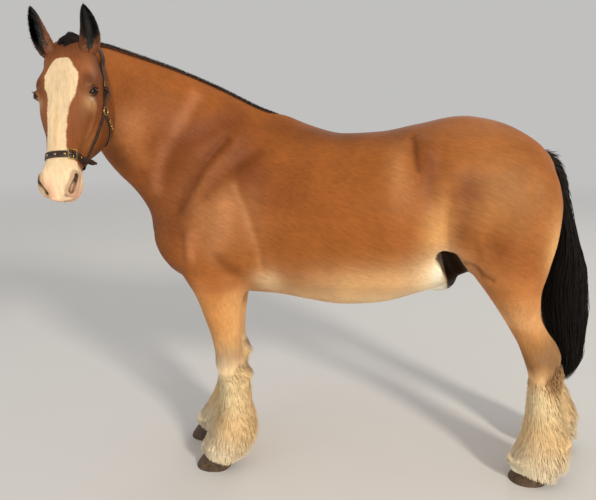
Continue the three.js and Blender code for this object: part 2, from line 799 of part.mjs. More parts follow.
// Metal and strap ends lie on the straps, clear of them and of the head.
const strapTop = strapGap + strapThickness;
const down = mm(1, 0, -0.15);
const overStraps = frontBody(strapTop + gap);
for (const [side, word] of [[LEFT, 'left'], [RIGHT, 'right']]) {
  const ring = new THREE.TorusGeometry(ringRadius, 2.8, 5, 12);
  const laid = layOn(onSide(side, ringPlace), down, ring, strapTop + 5);
  place(`ring_${word}`, solid(laid).subtract(overStraps), brass);
}
const fitting = (name, at, along, geometry, height, material) =>
  place(name, solid(layOn(onSide(LEFT, at), along, geometry, height)).subtract(overStraps), material);
const lift = strapTop + 2;
fitting('cheek_buckle', cheekBuckle.at, cheekBuckle.along, buckle(cheekBuckle), lift, brass);
fitting('noseband_buckle', nosebandBuckle.at, nosebandBuckle.along, buckle(nosebandBuckle), lift, brass);
const endTongue = tongue(nosebandEnd.length, nosebandEnd.width);
fitting('noseband_end', nosebandEnd.at, nosebandEnd.along, endTongue, lift, leather);
fitting('billet', billetPlace, down, tongue(billetLength, billetWidth), lift, leather);
fitting('snap', snapPlace, down, tongue(snapLength, snapWidth), lift, brass);

const ears = [[LEFT, 'left'], [RIGHT, 'right']].map(([side, word]) => {
  const [outer, inner] = earBody(side, 0).map(solid);
  return { word, ear: outer.subtract(inner).subtract(frontGrown) };
});
ears.forEach(({ word, ear }) => place(`ear_${word}`, ear, bay));
for (const [side, word] of [[LEFT, 'left'], [RIGHT, 'right']]) {
  place(`eye_${word}`, eyeBody(side, 0), eye);
}
const earRoom = [LEFT, RIGHT].map((side) => solid(earBody(side, gap)[0])).reduce((a, b) => a.add(b));
place('forelock', solid(forelockBody()).subtract(frontGrown).subtract(earRoom), black);
place('mane', solid(maneBody()).subtract(bodyGrown).subtract(headpieceRoom), black);

// The origin lies on the ground, under the middle of the whole animal.
const { min, max } = new THREE.Box3().setFromObject(horse);
horse.position.set(-(min.x + max.x) / 2, -(min.y + max.y) / 2, -min.z);

export default horse;
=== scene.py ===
"""A heavy draught horse of the feathered type, standing with its head turned, in a headcollar.

The shapes are worked out in the horse's own frame, in millimetres: it faces -X, its left side
is -Y, and it stands on Z = 0. `place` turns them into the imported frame's metres.
"""
import json
import math

import bmesh
import bpy
import numpy as np
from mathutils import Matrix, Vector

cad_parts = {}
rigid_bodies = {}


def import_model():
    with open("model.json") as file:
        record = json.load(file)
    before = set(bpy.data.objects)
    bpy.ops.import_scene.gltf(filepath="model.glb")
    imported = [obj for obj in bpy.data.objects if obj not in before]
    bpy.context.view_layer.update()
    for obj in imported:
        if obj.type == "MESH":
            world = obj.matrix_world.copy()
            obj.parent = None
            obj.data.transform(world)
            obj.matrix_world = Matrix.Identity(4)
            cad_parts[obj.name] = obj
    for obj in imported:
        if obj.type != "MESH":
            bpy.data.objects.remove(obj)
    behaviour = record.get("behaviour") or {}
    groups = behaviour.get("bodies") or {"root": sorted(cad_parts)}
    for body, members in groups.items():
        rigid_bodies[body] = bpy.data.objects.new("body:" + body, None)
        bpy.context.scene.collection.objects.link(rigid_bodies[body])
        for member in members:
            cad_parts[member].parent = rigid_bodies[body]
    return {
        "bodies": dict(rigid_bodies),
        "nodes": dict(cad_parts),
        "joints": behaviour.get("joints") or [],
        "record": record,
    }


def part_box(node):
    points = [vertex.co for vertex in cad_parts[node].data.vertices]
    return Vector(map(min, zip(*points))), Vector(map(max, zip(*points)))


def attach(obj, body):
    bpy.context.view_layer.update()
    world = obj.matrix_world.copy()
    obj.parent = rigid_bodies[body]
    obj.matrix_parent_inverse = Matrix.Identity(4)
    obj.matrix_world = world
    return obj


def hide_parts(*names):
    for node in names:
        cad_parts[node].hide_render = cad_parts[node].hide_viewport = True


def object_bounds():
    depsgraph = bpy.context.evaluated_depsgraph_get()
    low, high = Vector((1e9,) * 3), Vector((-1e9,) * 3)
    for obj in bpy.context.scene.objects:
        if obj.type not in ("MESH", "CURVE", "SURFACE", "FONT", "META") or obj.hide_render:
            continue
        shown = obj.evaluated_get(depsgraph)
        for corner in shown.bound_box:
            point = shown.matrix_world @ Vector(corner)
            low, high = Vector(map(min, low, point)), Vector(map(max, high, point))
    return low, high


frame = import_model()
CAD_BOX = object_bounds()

import openvdb
from mathutils import Matrix, Vector
from mathutils.bvhtree import BVHTree

LEFT, RIGHT = -1, 1
rng = np.random.default_rng(7)

# ---- frames ----

HEAD_HEADING, HEAD_PITCH, HEAD_ROLL = (math.radians(a) for a in (99, 60, 8))
POLL = np.array([-1199.0, -454.0, 1928.0])
EYE_DOWN, EYE_SIDE, EYE_OUT, EYE_RADIUS = 216.0, 98.0, 18.0, 23.0
# Where the skin lies over the eye, and the middle of the bare rim round it.
EYE_COVER, EYE_RIM = (216, 104, 22), (216, 108, 24)
FORWARD, SIDEWAYS, UPWARD = (-1, 0, 0), (0, 1, 0), (0, 0, 1)


def head_axes():
    """The head's frame: x down the face, y to the horse's left, z out of the forehead."""
    face = Vector((-math.cos(HEAD_HEADING) * math.sin(HEAD_PITCH),
                   -math.sin(HEAD_HEADING) * math.sin(HEAD_PITCH), math.cos(HEAD_PITCH)))
    left = Vector((math.sin(HEAD_HEADING), -math.cos(HEAD_HEADING), 0))
    basis = Matrix((-face.cross(left), left, face)).transposed()
    return np.array(basis @ Matrix.Rotation(HEAD_ROLL, 3, "X"))


HEAD = head_axes()


def from_head(points):
    return np.asarray(points, float) @ HEAD.T + POLL


def to_head(points):
    return (np.asarray(points, float) - POLL) @ HEAD


def middle_of(node):
    low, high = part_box(node)
    return (np.array(low) + np.array(high)) / 2


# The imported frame's origin lies under the middle of the whole animal. The eyes tell where that is.
ORIGIN = (middle_of("eye_left") + middle_of("eye_right")) / 2 - from_head([EYE_DOWN, 0, EYE_OUT]) / 1000


def place(points):
    return np.asarray(points, float) / 1000 + ORIGIN


def unplace(points):
    return (np.asarray(points, float) - ORIGIN) * 1000


# ---- shaping tools ----

def through(rows):
    """A smooth function through rows of [place, value, ...], with no overshoot between rows."""
    table = np.array(rows, float)
    places, values = table[:, 0], table[:, 1:]
    step = np.diff(places)[:, None]
    slopes = np.diff(values, axis=0) / step
    tangents = np.zeros_like(values)
    product = slopes[:-1] * slopes[1:]
    total = np.where(product > 0, slopes[:-1] + slopes[1:], 1)
    tangents[1:-1] = np.where(product > 0, 2 * product / total, 0)

    def at(place):
        x = np.atleast_1d(np.asarray(place, float))
        i = np.clip(np.searchsorted(places, x) - 1, 0, len(places) - 2)
        width = step[i]
        t = np.clip((x - places[i])[:, None] / width, 0, 1)
        near = 2 * t**3 - 3 * t**2 + 1
        lead, lag = (t**3 - 2 * t**2 + t) * width, (t**3 - t**2) * width
        return near * values[i] + (1 - near) * values[i + 1] + lead * tangents[i] + lag * tangents[i + 1]

    return at


def smooth(value, low, high):
    """0 below `low`, 1 above `high` and a smooth step between. `low` may be the larger."""
    t = np.clip((value - low) / (high - low), 0, 1)
    return t * t * (3 - 2 * t)


def col(*values):
    """Broadcasts values into a column of rows."""
    return np.stack(np.broadcast_arrays(*[np.asarray(v, float) for v in values]), axis=-1)


def unit(vectors):
    return vectors / np.maximum(np.linalg.norm(vectors, axis=-1, keepdims=True), 1e-9)


def ovals(centre, up, side, top, bottom, half, upper=2.0, lower=2.0, count=96):
    """Rings round centres: each reaches `top` along `up`, `bottom` the other way, `half` sideways."""
    angle = np.arange(count) / count * 2 * np.pi
    c, s = np.cos(angle)[None], np.sin(angle)[None]
    up, side = (np.broadcast_to(v, centre.shape)[:, None] for v in (up, side))
    top, bottom, half, upper, lower = (np.reshape(np.broadcast_to(v, len(centre)), (-1, 1))
                                       for v in (top, bottom, half, upper, lower))
    power = np.where(c > 0, 2 / upper, 2 / lower)
    along = np.sign(c) * np.abs(c)**power * np.where(c > 0, top, bottom)
    across = np.sign(s) * np.abs(s)**power * half
    return centre[:, None] + along[..., None] * up + across[..., None] * side


def loft(rings):
    """Points and triangles of the closed body through rings."""
    rows, count = rings.shape[:2]
    points = np.concatenate([rings.reshape(-1, 3), rings[:1].mean(1), rings[-1:].mean(1)])
    i = np.arange(count)
    j = (i + 1) % count
    quads = ring_quads(rows, count)
    faces = [quads[:, :3], quads[:, [0, 2, 3]]]
    first, last = rows * count, rows * count + 1
    faces.append(np.stack([np.full(count, first), j, i], -1))
    faces.append(np.stack([np.full(count, last), i + (rows - 1) * count, j + (rows - 1) * count], -1))
    return points, np.concatenate(faces)


def ring_quads(rows, count, closed=False):
    """The quads between rings of points; `closed` joins the last ring to the first."""
    i = np.arange(count)
    j = (i + 1) % count
    k = np.arange(rows if closed else rows - 1)[:, None]
    here, there = k * count, (k + 1) % rows * count
    return np.stack([here + i, here + j, there + j, there + i], -1).reshape(-1, 4)


def shell_faces(rows, count, closed):
    """The faces of a ring or of a rod with flat ends."""
    faces = ring_quads(rows, count, closed).tolist()
    if not closed:
        faces += [list(range(count))[::-1], list(range((rows - 1) * count, rows * count))]
    return faces


class Curve:
    """A centripetal Catmull-Rom curve through points, by its share from 0 to 1."""

    def __init__(self, points):
        self.points = np.array(points, float)

    def at(self, share):
        p = self.points
        last = len(p) - 1
        x = np.atleast_1d(np.asarray(share, float)) * last
        i = np.clip(np.floor(x).astype(int), 0, last - 1)
        w = (x - i)[:, None]
        padded = np.concatenate([[2 * p[0] - p[1]], p, [2 * p[-1] - p[-2]]])
        p0, p1, p2, p3 = (padded[i + k] for k in range(4))
        d0, d1, d2 = (np.maximum(np.linalg.norm(b - a, axis=1)**0.5, 1e-4)[:, None]
                      for a, b in ((p0, p1), (p1, p2), (p2, p3)))
        t1 = ((p1 - p0) / d0 - (p2 - p0) / (d0 + d1) + (p2 - p1) / d1) * d1
        t2 = ((p2 - p1) / d1 - (p3 - p1) / (d1 + d2) + (p3 - p2) / d2) * d1
        return (p1 + t1 * w + (-3 * p1 + 3 * p2 - 2 * t1 - t2) * w**2
                + (2 * p1 - 2 * p2 + t1 + t2) * w**3)

    def along(self, share):
        share = np.atleast_1d(np.asarray(share, float))
        return unit(self.at(np.minimum(share + 1e-4, 1)) - self.at(np.maximum(share - 1e-4, 0)))


# ---- the body's shapes ----

# [place, top, bottom, half width, height of the widest part, roundness above, roundness below]
trunk_shape = through([
    [-1012, 1230, 1095, 85, 1160, 2, 2],
    [-980, 1310, 1015, 185, 1150, 2, 2.1],
    [-890, 1430, 935, 268, 1130, 2, 2.2],
    [-760, 1540, 885, 292, 1120, 1.9, 2.2],
    [-600, 1635, 860, 300, 1130, 1.7, 2.2],
    [-440, 1680, 848, 308, 1145, 1.55, 2.2],
    [-300, 1638, 823, 330, 1170, 1.75, 2.15],
    [-140, 1602, 802, 350, 1185, 2, 2.1],
    [20, 1610, 812, 358, 1195, 2.1, 2.1],
    [200, 1647, 860, 340, 1220, 2.15, 2.1],
    [385, 1682, 930, 312, 1250, 2.1, 2.1],
    [450, 1676, 976, 306, 1262, 2.1, 2.1],
    [550, 1654, 1030, 294, 1280, 2.1, 2],
    [690, 1584, 1080, 258, 1300, 2.1, 2],
    [770, 1510, 1120, 190, 1300, 2, 2],
    [815, 1400, 1210, 70, 1300, 2, 2],
])
crest_line = Curve([(-300, 0, 1620), (-425, 0, 1670), (-530, -10, 1710), (-703, -50, 1795),
                    (-886, -120, 1873), (-1044, -235, 1928), (-1128, -345, 1952), (-1190, -430, 1948)])
throat_line = Curve([(-700, 0, 980), (-880, 0, 1040), (-1000, -80, 1140), (-1025, -140, 1255),
                     (-1070, -190, 1351), (-1117, -240, 1422), (-1152, -295, 1502), (-1180, -365, 1620)])
neck_half_width = through([[0, 200], [0.29, 198], [0.43, 170], [0.57, 135], [0.71, 110], [0.86, 96], [1, 84]])
# [down the head, reach to the face, reach to the jaw, half width, squareness of the face, of the jaw]
HEAD_LENGTH = 632
head_shape = through([
    [-45, 15, 60, 46, 2, 2],
    [-10, 46, 120, 80, 2.2, 2],
    [50, 60, 180, 98, 2.4, 2.4],
    [120, 66, 222, 108, 2.5, 2.8],
    [195, 68, 262, 108, 2.3, 3],
    [265, 60, 270, 104, 2.1, 3.2],
    [335, 53, 240, 90, 2, 2.8],
    [410, 49, 178, 68, 2, 2.3],
    [475, 44, 132, 60, 2.2, 2.1],
    [530, 42, 112, 66, 2.3, 2.2],
    [580, 33, 100, 70, 2.3, 2.3],
    [612, 12, 86, 58, 2.2, 2.3],
    [HEAD_LENGTH, -14, 60, 34, 2, 2],
])
# Bare legs, inside their feather: [height, front, back, distance from the middle, half width, squareness]
UPPER_FORE = [[780, -777, -600, 184, 86, 2.1], [895, -814, -590, 196, 102, 2.1],
              [1020, -870, -590, 196, 108, 2.1], [1150, -870, -640, 176, 80, 2.1]]
fore_skin = through([
    [40, -806, -650, 146, 66, 2],
    [88, -800, -645, 146, 70, 2],
    [125, -788, -648, 147, 60, 2],
    [168, -765, -640, 148, 54, 2],
    [216, -745, -618, 149, 58, 2],
    [262, -722, -612, 150, 50, 2],
    [317, -706, -610, 153, 42, 2],
    [420, -702, -612, 157, 44, 2.1],
    [468, -712, -602, 160, 58, 2.3],
    [500, -722, -598, 161, 68, 2.6],
    [527, -728, -596, 163, 72, 2.6],
    [580, -731, -600, 166, 68, 2.4],
    [670, -746, -604, 171, 70, 2.2],
    *UPPER_FORE,
])
UPPER_HIND = [[810, 562, 741, 182, 80, 2], [900, 498, 734, 180, 108, 2.1], [1020, 412, 760, 176, 132, 2.2],
              [1160, 354, 792, 168, 140, 2.2], [1290, 389, 802, 160, 126, 2.2],
              [1400, 454, 778, 146, 94, 2], [1480, 544, 706, 136, 46, 2]]
hind_skin = through([
    [40, 655, 822, 168, 66, 2],
    [88, 662, 812, 168, 70, 2],
    [125, 674, 806, 169, 60, 2],
    [168, 690, 810, 171, 56, 2],
    [216, 704, 832, 173, 60, 2],
    [265, 716, 822, 175, 50, 2],
    [346, 722, 816, 177, 44, 2],
    [442, 717, 820, 180, 47, 2.2],
    [510, 708, 828, 181, 60, 2.4],
    [570, 690, 838, 181, 68, 2.4],
    [620, 669, 842, 180, 62, 2.1],
    [665, 649, 830, 180, 53, 1.9],
    [725, 614, 787, 181, 60, 1.8],
    *UPPER_HIND,
])
# The feather's outline round each lower leg, out to the tips of the hair.
fore_feather = through([
    [38, -812, -618, 146, 90, 2],
    [58, -820, -594, 146, 94, 2],
    [106, -812, -550, 147, 92, 2],
    [173, -776, -528, 149, 82, 2],
    [250, -738, -534, 151, 72, 2],
    [317, -722, -556, 153, 60, 2],
    [384, -716, -576, 156, 56, 2],
    [432, -716, -574, 158, 60, 2.1],
    [468, -722, -546, 160, 70, 2.3],
    [496, -728, -570, 161, 77, 2.6],
    [527, -733, -588, 163, 77, 2.6],
])
hind_feather = through([
    [38, 640, 900, 168, 98, 2],
    [58, 640, 926, 168, 102, 2],
    [106, 652, 940, 170, 96, 2],
    [173, 680, 940, 172, 86, 2],
    [250, 706, 914, 174, 76, 2],
    [335, 712, 882, 177, 66, 2],
    [409, 710, 870, 178, 62, 2.1],
    [470, 706, 860, 180, 62, 2.2],
    [520, 702, 862, 181, 68, 2.4],
    [570, 688, 846, 181, 70, 2.4],
])


class Leg:
    """A leg: its shapes without and with the feather, and how far its foot is set forward."""

    def __init__(self, name, side, stride, skin, feather, top, hip, foot):
        self.name, self.side, self.stride = name, side, stride
        self.skin, self.feather, self.top, self.hip = skin, feather, top, hip
        self.fore = skin is fore_skin
        self.foot = np.array([foot + stride, side * skin(0)[0, 2], 0])

    def swing(self, z):
        return self.stride * np.maximum(0, 1 - np.asarray(z, float) / self.hip)

    def slices(self, shape, z, count=64):
        front, back, middle, half, squareness = shape(z).T
        centre = col((front + back) / 2 + self.swing(z), self.side * middle, z)
        reach = (back - front) / 2
        return ovals(centre, FORWARD, SIDEWAYS, reach, reach, half, squareness, squareness, count)

    def centre(self, z):
        front, back, middle = self.skin(z).T[:3]
        return col((front + back) / 2 + self.swing(z), self.side * middle, z)


FORE = {"skin": fore_skin, "feather": fore_feather, "top": 1150, "hip": 1030, "foot": -757}
HIND = {"skin": hind_skin, "feather": hind_feather, "top": 1480, "hip": 1180, "foot": 738}
LEGS = [Leg("foreleg_left", LEFT, 0, **FORE), Leg("foreleg_right", RIGHT, -95, **FORE),
        Leg("hindleg_left", LEFT, 0, **HIND), Leg("hindleg_right", RIGHT, 172, **HIND)]


def trunk_body():
    x = np.concatenate([np.linspace(-1012, -960, 8), np.linspace(-950, 750, 120), np.linspace(756, 815, 10)])
    top, bottom, half, widest, upper, lower = trunk_shape(x).T
    return loft(ovals(col(x, 0, widest), UPWARD, SIDEWAYS, top - widest, widest - bottom, half, upper, lower))


def sheath_body():
    u = np.linspace(0.02, np.pi - 0.02, 24)
    return loft(ovals(col(314 - 86 * np.cos(u), 0, 926), UPWARD, SIDEWAYS,
                      58 * np.sin(u), 62 * np.sin(u), 46 * np.sin(u), count=32))


def neck_frame(share):
    crest, throat = crest_line.at(share), throat_line.at(share)
    up = unit(crest - throat)
    side = unit(np.cross(crest_line.along(share) + throat_line.along(share), up))
    return (crest + throat) / 2, up, side, np.linalg.norm(crest - throat, axis=1) / 2


def neck_body():
    share = np.linspace(0, 1, 90)
    centre, up, side, reach = neck_frame(share)
    return loft(ovals(centre, up, side, reach, reach, neck_half_width(share)[:, 0], 1.6, 2.1))


def head_body():
    x = np.concatenate([np.linspace(-45, -25, 6), np.linspace(-20, 600, 100),
                        np.linspace(604, HEAD_LENGTH, 10)])
    face, jaw, half, upper, lower = head_shape(x).T
    points, faces = loft(ovals(col(x, 0, 0), UPWARD, SIDEWAYS, face, jaw, half, upper, lower))
    return from_head(points), faces


def leg_body(leg):
    return loft(leg.slices(leg.skin, np.linspace(40, leg.top, 110)))


# ---- one skin over them all ----

VOXEL = 0.007
BAND = 8  # voxels on each side of a surface that know how far it is
COAT_DEPTH = 0.003
# The widths of the fillets where parts of the body meet, and how far its surface is blurred, in voxels.
GROIN_FILLET, NECK_FILLET, LEG_FILLET, SMALL_FILLET = 0.012, 0.034, 0.03, 0.02
BODY_BLUR, HEAD_BLUR = 1.3, 0.7


class Field:
    """Signed distances on one grid round the whole animal, negative inside."""

    def __init__(self):
        low, high = (np.array(c) for c in CAD_BOX)
        self.start = np.floor(low / VOXEL).astype(int) - BAND - 2
        self.size = np.ceil(high / VOXEL).astype(int) + BAND + 2 - self.start
        self.transform = openvdb.createLinearTransform(voxelSize=VOXEL)

    def distances(self, body):
        points, faces = body
        grid = openvdb.FloatGrid.createLevelSetFromPolygons(
            place(points).astype(np.float32), triangles=faces.astype(np.uint32),
            transform=self.transform, halfWidth=BAND)
        values = np.full(self.size, grid.background, np.float32)
        grid.copyToArray(values, ijk=tuple(int(i) for i in self.start))
        return values

    def surface(self, values, level):
        grid = openvdb.FloatGrid(VOXEL * BAND)
        grid.transform = self.transform
        grid.copyFromArray(values, ijk=tuple(int(i) for i in self.start))
        return grid.convertToQuads(isovalue=level)

    def sample(self, values, points):
        """Distances at points in metres, between the grid's corners."""
        p = points / VOXEL - self.start
        i = np.clip(np.floor(p).astype(int), 0, self.size - 2)
        f = p - i
        total = 0
        for corner in np.ndindex(2, 2, 2):
            weight = np.prod(np.where(corner, f, 1 - f), axis=1)
            total = total + weight * values[i[:, 0] + corner[0], i[:, 1] + corner[1], i[:, 2] + corner[2]]
        return total


def melt(a, b, width):
    """The union of two bodies, with a fillet of about `width` where they meet."""
    h = np.maximum(width - np.abs(a - b), 0) / width
    return np.minimum(a, b) - h * h * width / 4


def blur(values, sigma):
    reach = int(math.ceil(2.5 * sigma))
    weights = np.exp(-0.5 * (np.arange(-reach, reach + 1) / sigma)**2)
    weights /= weights.sum()
    for axis in range(3):
        total = np.zeros_like(values)
        for k, weight in zip(range(-reach, reach + 1), weights):
            total += weight * np.roll(values, k, axis)
        values = total
    return values


# The hollow between the fold of the flank, the sheath and the thigh: [middle, length, width, tilt].
GROIN = [[(357, 200, 985), 134, 46, 23], [(312, 214, 1058), 62, 30, 48], [(362, 206, 1010), 80, 32, 48]]


def groin_body(side, middle, length, width, tilt):
    u = np.linspace(0.02, np.pi - 0.02, 24)
    c, s = np.cos(np.radians(tilt)), np.sin(np.radians(tilt))
    centre = np.array(middle) * (1, side, 1) - col(-s, 0, c) * (length * np.cos(u))[:, None]
    sizes = [size * np.sin(u) for size in (width, width, 180)]
    return loft(ovals(centre, (c, 0, s), SIDEWAYS, *sizes, count=40))


def body_field(field):
    trunk = field.distances(trunk_body())
    for side in (LEFT, RIGHT):
        for hollow in GROIN:
            trunk = -melt(-trunk, field.distances(groin_body(side, *hollow)), GROIN_FILLET)
    whole = melt(trunk, field.distances(neck_body()), NECK_FILLET)
    whole = melt(whole, field.distances(sheath_body()), SMALL_FILLET)
    for leg in LEGS:
        whole = melt(whole, field.distances(leg_body(leg)), LEG_FILLET)
    whole = blur(whole, BODY_BLUR)
    return melt(whole, blur(field.distances(head_body()), HEAD_BLUR), SMALL_FILLET)


def mesh_object(name, points, faces, material=None):
    mesh = bpy.data.meshes.new(name)
    mesh.from_pydata(points.tolist() if isinstance(points, np.ndarray) else points, [],
                     faces.tolist() if isinstance(faces, np.ndarray) else faces)
    piece = bpy.data.objects.new(name, mesh)
    bpy.context.scene.collection.objects.link(piece)
    if material:
        mesh.materials.append(material)
    shade_smooth(mesh)
    return piece


def read(items, name, kind=np.float32):
    """Three numbers of each of a mesh's items, as rows."""
    values = np.empty(len(items) * 3, kind)
    items.foreach_get(name, values)
    return values.reshape(-1, 3)


def coordinates(mesh):
    return read(mesh.vertices, "co").astype(float)


def normals(mesh):
    return read(mesh.vertex_normals, "vector").astype(float)


def shade_smooth(mesh):
    mesh.polygons.foreach_set("use_smooth", np.ones(len(mesh.polygons), bool))


def set_coordinates(mesh, points):
    mesh.vertices.foreach_set("co", points.astype(np.float32).ravel())
    mesh.update()


def refine(piece, chosen):
    """Splits every edge of the chosen faces; `chosen` takes face middles in the horse's frame."""
    mesh = piece.data
    keep = chosen(unplace(read(mesh.polygons, "center")))
    shape = bmesh.new()
    shape.from_mesh(mesh)
    shape.faces.ensure_lookup_table()
    edges = {edge for i in np.flatnonzero(keep) for edge in shape.faces[i].edges}
    bmesh.ops.subdivide_edges(shape, edges=list(edges), cuts=1, use_grid_fill=True)
    shape.to_mesh(mesh)
    shape.free()
    shade_smooth(mesh)


def settle(piece, field, values, level):
    """Moves each point onto the field's surface."""
    points = coordinates(piece.data)
    for _ in range(2):
        step = 0.5 * VOXEL
        slope = np.stack([field.sample(values, points + d) - field.sample(values, points - d)
                          for d in np.eye(3) * step], axis=1) / (2 * step)
        away = (field.sample(values, points) - level)[:, None]
        points -= away * slope / np.maximum((slope**2).sum(1, keepdims=True), 0.2)
    set_coordinates(piece.data, points)


# ---- muscles, bones and folds ----

# On the body: [middle, reach, height]. Each is mirrored to the other side where it isn't in the middle.
BODY_FORMS = [
    # shoulder and arm
    [(-930, 190, 1110), (90, 110, 110), 26],
    [(-640, 250, 1310), (90, 120, 220), 16],
    [(-660, 300, 1020), (120, 120, 110), 18],
    [(-600, 250, 1560), (60, 90, 120), 7],
    [(-740, 270, 1400), (50, 90, 130), 9],
    [(-560, 260, 1400), (44, 90, 130), 8],
    [(-570, 290, 1150), (80, 90, 120), 13],
    [(-655, 300, 1000), (34, 80, 26), -9],
    [(-470, 290, 1080), (60, 90, 150), -9],
    [(-800, 200, 960), (60, 120, 60), 8],
    [(-690, 225, 935), (70, 70, 60), 6],
    [(-600, 200, 905), (40, 60, 50), 9],
    # breast
    [(-960, 90, 1160), (60, 70, 110), 12],
    [(-985, 0, 1140), (60, 22, 150), -16],
    [(-880, 0, 930), (120, 30, 60), -8],
    # withers and back
    [(-520, 60, 1640), (90, 60, 50), -6],
    [(-430, 0, 1690), (120, 40, 40), 4],
    [(-60, 120, 1620), (220, 60, 60), 6],
    # ribs and belly
    [(-60, 350, 1250), (240, 120, 200), 5],
    [(60, 300, 930), (200, 90, 60), 4],
    # hip, flank and quarter
    [(200, 232, 1548), (46, 60, 48), 17],
    [(140, 250, 1500), (34, 60, 70), -9],
    [(222, 330, 1380), (66, 110, 110), -20],
    [(262, 262, 1490), (26, 60, 70), -7],
    [(335, 285, 1450), (70, 90, 90), 7],
    [(260, 320, 1060), (80, 120, 80), -14],
    [(296, 320, 1240), (26, 70, 120), -8],
    [(420, 300, 1190), (50, 90, 70), 8],
    [(500, 300, 1118), (34, 70, 50), -8],
    [(560, 270, 1330), (120, 100, 160), 8],
    [(690, 200, 1330), (60, 80, 170), 6],
    [(640, 250, 1150), (50, 80, 130), -5],
    [(400, 100, 1680), (180, 50, 50), 6],
    [(560, 0, 1660), (200, 30, 60), -9],
    [(330, 0, 1680), (160, 26, 40), -5],
    [(800, 0, 1400), (70, 34, 130), -22],
    [(300, 0, 880), (60, 40, 30), 6],
    [(-990, 60, 1062), (60, 150, 58), -20],
]
# Creases and ridges on the body: [points, reach, height]
BODY_LINES = [
    [[(150, 172, 1587), (152, 209, 1560), (158, 248, 1505), (166, 280, 1450), (170, 300, 1400)], 15, -9],
    [[(-601, 109, 1672), (-744, 210, 1607), (-866, 260, 1531), (-923, 261, 1429)], 44, -7],
    [[(-657, 185, 1568), (-742, 237, 1467), (-811, 243, 1361), (-855, 238, 1281)], 26, -13],
    [[(-526, 172, 1516), (-616, 204, 1451), (-692, 231, 1401), (-740, 250, 1340)], 30, -9],
    [[(-600, 150, 1590), (-690, 205, 1490), (-770, 240, 1370)], 24, 6],
    [[(-609, 249, 1377), (-552, 291, 1252), (-507, 304, 1110), (-500, 270, 1010)], 22, -10],
    [[(-660, 270, 1340), (-655, 293, 1238), (-690, 290, 1130)], 40, 9],
    [[(-793, 285, 1168), (-803, 284, 1074)], 26, 7],
    [[(-850, 285, 1180), (-845, 270, 1060)], 18, -7],
    [[(-690, 296, 1060), (-620, 300, 1000), (-560, 290, 960)], 26, -9],
    [[(-783, 182, 1725), (-811, 223, 1653), (-902, 269, 1548)], 30, -5],
    [[(-800, 290, 1129), (-777, 287, 1049), (-795, 291, 995)], 16, -5],
    [[(293, 314, 1288), (291, 324, 1227), (303, 303, 1121)], 12, -5],
    [[(415, 300, 1195), (453, 286, 1090)], 18, 5],
    [[(379, 248, 1050), (440, 250, 1021), (495, 276, 984)], 14, -8],
    [[(-1000, 140, 1200), (-968, 168, 1090), (-905, 182, 990)], 24, -9],
    [[(-1042, 307, 1533), (-986, 239, 1357), (-896, 276, 1143)], 16, -4],
    [[(640, 262, 1420), (672, 268, 1260), (662, 266, 1130), (640, 250, 1000)], 20, -5],
    [[(-420, 350, 1060), (-250, 352, 930), (0, 330, 858)], 18, 2],
    [[(-240, 345, 940), (-100, 330, 880), (40, 300, 850)], 9, 2],
]
# Bones and tendons of the legs. The places are those of a leg that doesn't swing.
LEG_FORMS = [
    [(-738, 163, 545), (26, 60, 36), 5],
    [(-600, 161, 540), (26, 30, 46), 8],
    [(-690, 235, 540), (26, 26, 30), 4],
    [(-655, 205, 400), (16, 40, 110), -5],
    [(-700, 250, 720), (60, 60, 90), 5],
    [(-640, 255, 760), (14, 60, 80), -5],
    [(-790, 160, 150), (30, 60, 30), 4],
    [(850, 181, 600), (26, 30, 40), 7],
    [(700, 235, 590), (30, 26, 40), 5],
    [(760, 240, 640), (30, 26, 40), -8],
    [(775, 215, 420), (14, 40, 110), -5],
    [(690, 250, 760), (50, 50, 80), 5],
    [(770, 235, 740), (20, 40, 70), -9],
    [(620, 265, 880), (60, 60, 90), 7],
    [(560, 250, 820), (40, 50, 60), 4],
    [(700, 265, 980), (16, 50, 90), -5],
]
# On the head, in its own frame.
HEAD_FORMS = [
    [(176, 100, 32), (44, 36, 28), 13],
    [(225, 110, -150), (110, 70, 90), 16],
    [(180, 112, -150), (60, 40, 60), 5],
    [(405, 74, -60), (80, 40, 50), -8],
    [(108, 98, 24), (34, 32, 28), -8],
    [(60, 92, 22), (34, 32, 30), 3],
    [(562, 58, -6), (38, 30, 34), 11],
    [(540, 48, 30), (26, 20, 16), 5],
    [(350, 62, 18), (60, 24, 22), -5],
    [(248, 78, 40), (26, 24, 20), -5],
    [(256, 100, 0), (14, 20, 10), -5],
    [(602, 0, -52), (34, 60, 14), -5],
    [(562, 0, -104), (34, 40, 26), 12],
    [(490, 0, -120), (34, 60, 30), -8],
    [(620, 20, -20), (20, 24, 16), 4],
    [(627, 0, -18), (26, 6, 30), -3],
    [(330, 30, 52), (120, 12, 16), 2],
    [(455, 60, -45), (40, 24, 22), -4],
    [(40, 96, -90), (30, 30, 70), -7],
    [(150, 0, 70), (90, 60, 40), 3],
]
LIPS = [(640, 0, -26), (628, 22, -32), (604, 45, -42), (574, 60, -51), (546, 67, -56)]
HEAD_LINES = [
    [[(252, 104, -16), (290, 97, -26), (330, 88, -32), (372, 76, -38)], 11, 5],
    [[(252, 104, 6), (300, 95, -4), (360, 78, -14)], 10, -1],
    [[(160, 66, 58), (186, 98, 50), (216, 112, 47), (240, 104, 38)], 9, 5],
    [LIPS, 4.5, -7],
    [[(628, 0, -30), (612, 34, -34), (580, 60, -40)], 8, 3],
    [[(390, 80, -74), (350, 100, -120), (330, 104, -180), (316, 92, -240)], 12, -5],
    [[(300, 108, -60), (330, 98, -110), (352, 84, -160)], 5, 2],
    [[(306, 96, 0), (350, 84, -40), (400, 74, -70)], 4, 1],
    [[(236, 108, 2), (262, 98, -4), (292, 88, 2)], 5, -2],
    [[(470, 58, 10), (510, 58, 6), (548, 62, 8)], 5, 1.5],
]
